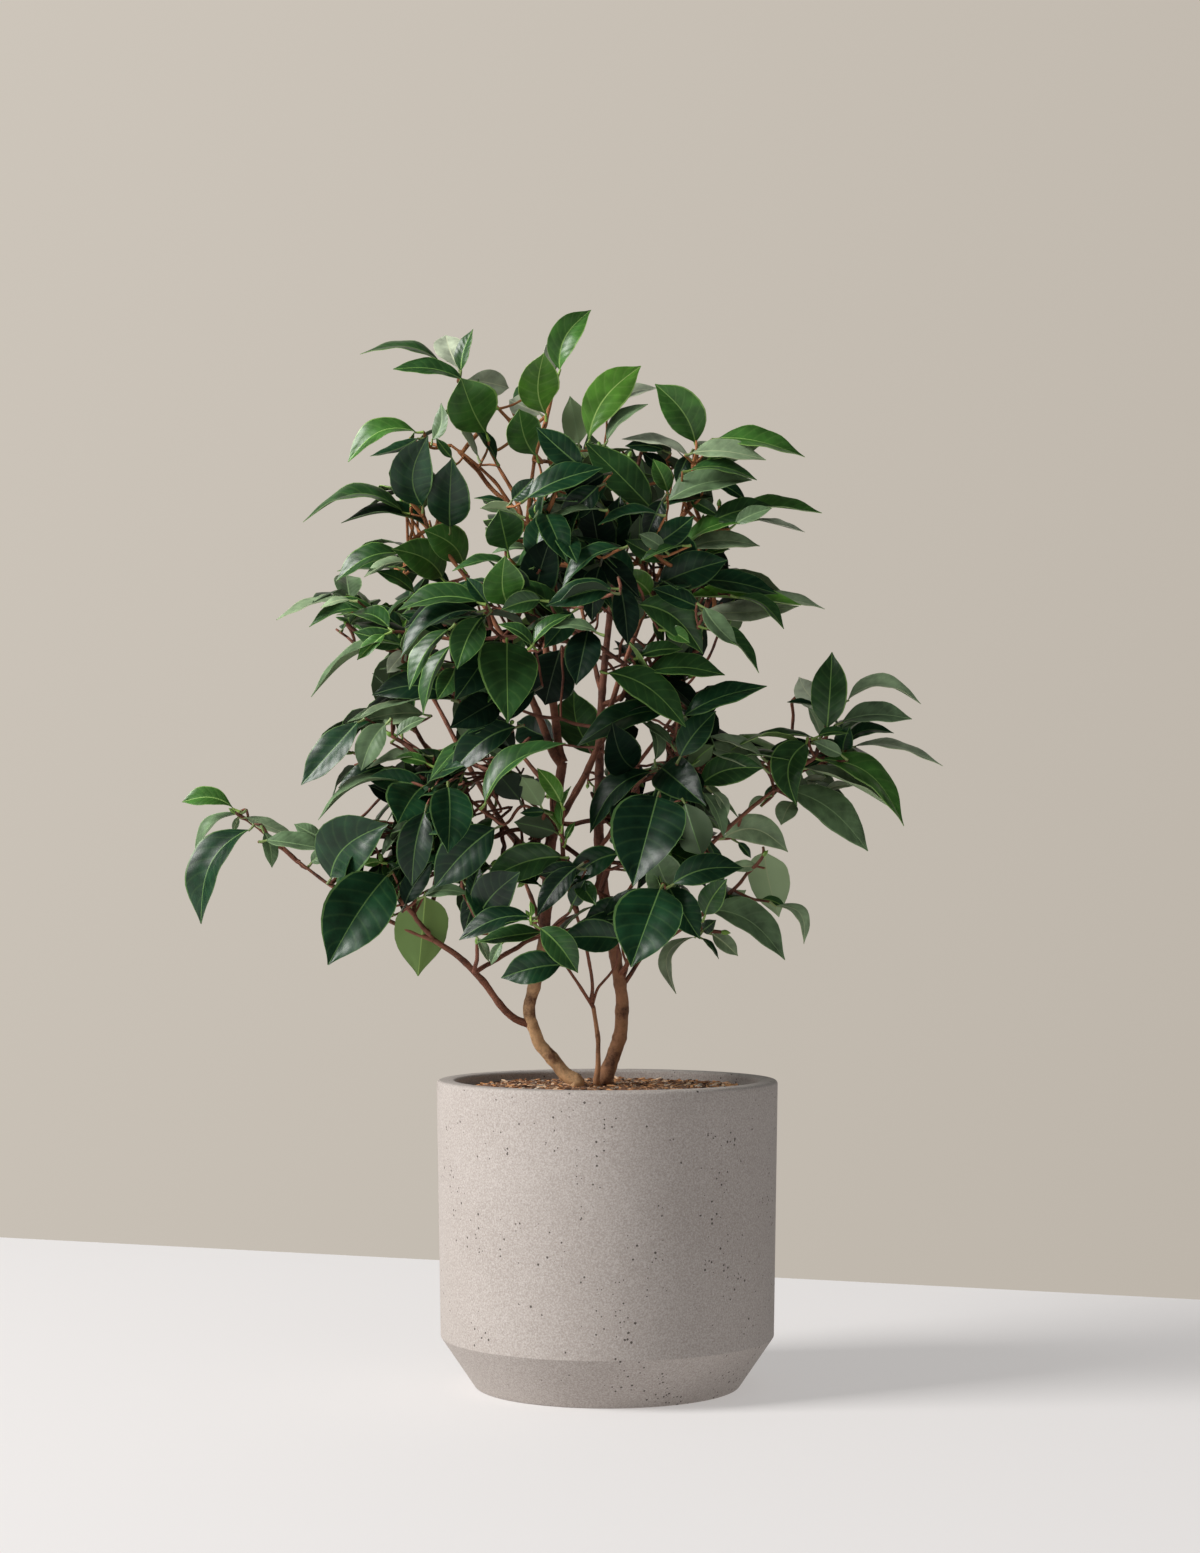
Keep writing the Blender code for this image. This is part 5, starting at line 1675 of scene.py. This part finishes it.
def wall_material():
    """The backdrop, a glowing surface with painted light: a little brighter to the left and to the top."""
    material = bpy.data.materials.new("backdrop")
    material.use_nodes = True
    tree = material.node_tree
    maths = partial(math_node, tree)
    axes = split_node(tree, "ShaderNodeSeparateXYZ", object_places(tree))
    x, y, z = (maths("SUBTRACT", axis, start) for axis, start in zip(axes, CAMERA_PLACE))
    reach = maths("SQRT", maths("ADD", maths("MULTIPLY", x, x), maths("MULTIPLY", y, y)))
    right = maths("ADD", maths("DIVIDE", x, reach), WALL_SPREAD / 2)
    right = maths("MULTIPLY", right, WALL_SHARES[0] / WALL_SPREAD)
    down = maths("SUBTRACT", WALL_TOP, maths("DIVIDE", z, reach))
    down = maths("MULTIPLY", down, WALL_SHARES[1] / WALL_DROP)
    colour = ramp_node(tree, maths("ADD", right, down), ((0, WALL_BRIGHT), (1, WALL_DIM)))
    glow = tree.nodes.new("ShaderNodeEmission")
    feed(tree, glow.inputs["Color"], colour)
    feed(tree, tree.nodes["Material Output"].inputs["Surface"], glow.outputs[0])
    return material


def build_floor(near):
    """The pale floor."""
    material = plain("floor", FLOOR_COLOUR, *FLOOR_FINISH)
    shader = material.node_tree.nodes["Principled BSDF"]
    shader.inputs["Emission Color"].default_value = (*FLOOR_GLOW, 1)
    shader.inputs["Emission Strength"].default_value = 1
    put_in_scene("floor", near, [(3, 2, 1, 0)], [material])


def build_stage():
    """A pale floor up to the line where the photograph's wall begins, and the backdrop past it."""
    ahead = (WALL_RIGHT - WALL_LEFT).normalized()
    away = Vector((-ahead.y, ahead.x, 0))
    ends = (WALL_LEFT - ahead * FLOOR_REACH, WALL_RIGHT + ahead * FLOOR_REACH)
    build_floor([*ends, *(end - away * FLOOR_REACH for end in reversed(ends))])
    far = [*reversed(ends), *(end + away * BACKDROP_REACH for end in ends)]
    backdrop = wall_material()
    angles = [2 * math.pi * i / DOME_SIDES for i in range(DOME_SIDES)]
    dome = [(DOME_REACH * math.cos(a), DOME_REACH * math.sin(a), z)
            for z in (-DOME_REACH, DOME_REACH) for a in angles]
    sides, caps = tube_faces(2, DOME_SIDES)
    for name, corners, faces in (("backdrop_floor", far, [(3, 2, 1, 0)]),
                                 ("backdrop", dome, sides + caps)):
        thing = put_in_scene(name, corners, faces, [backdrop])
        thing.visible_diffuse = thing.visible_glossy = thing.visible_shadow = False
    panel = [SHEEN_PLACE + Vector((x, 0, z)) * SHEEN_REACH for x, z in ((-1, -1), (1, -1), (1, 1), (-1, 1))]
    sheen = put_in_scene("sheen_panel", panel, [(0, 1, 2, 3)], [backdrop])
    sheen.visible_camera = sheen.visible_diffuse = sheen.visible_shadow = False


def build_light():
    """Soft daylight from one square light to the left and front, with an even fill."""
    world = bpy.data.worlds.new("studio")
    world.use_nodes = True
    world.node_tree.nodes["Background"].inputs["Color"].default_value = (*DAYLIGHT, 1)
    bpy.context.scene.world = world
    world.cycles_visibility.glossy = False
    bpy.context.scene.view_settings.view_transform = "Standard"
    lamp = bpy.data.lights.new("key", "AREA")
    lamp.shape = "SQUARE"
    lamp.size = KEY_SIZE
    lamp.energy = KEY_POWER
    lamp.color = KEY_COLOUR
    thing = bpy.data.objects.new("key", lamp)
    thing.location = KEY_PLACE
    thing.rotation_euler = (KEY_TARGET - KEY_PLACE).to_track_quat("-Z", "Y").to_euler()
    bpy.context.scene.collection.objects.link(thing)


def build_camera():
    """The camera of the photograph."""
    data = bpy.data.cameras.new("camera")
    data.lens = CAMERA_LENS
    data.sensor_width = CAMERA_SENSOR
    camera = bpy.data.objects.new("camera", data)
    camera.location = CAMERA_PLACE
    camera.rotation_euler = (math.pi / 2 + CAMERA_PITCH, 0, 0)
    bpy.context.scene.collection.objects.link(camera)
    bpy.context.scene.camera = camera


build_pot()
build_mix_bed()
build_mix_chips()
build_limbs()
build_crown()
build_stage()
build_light()
build_camera()
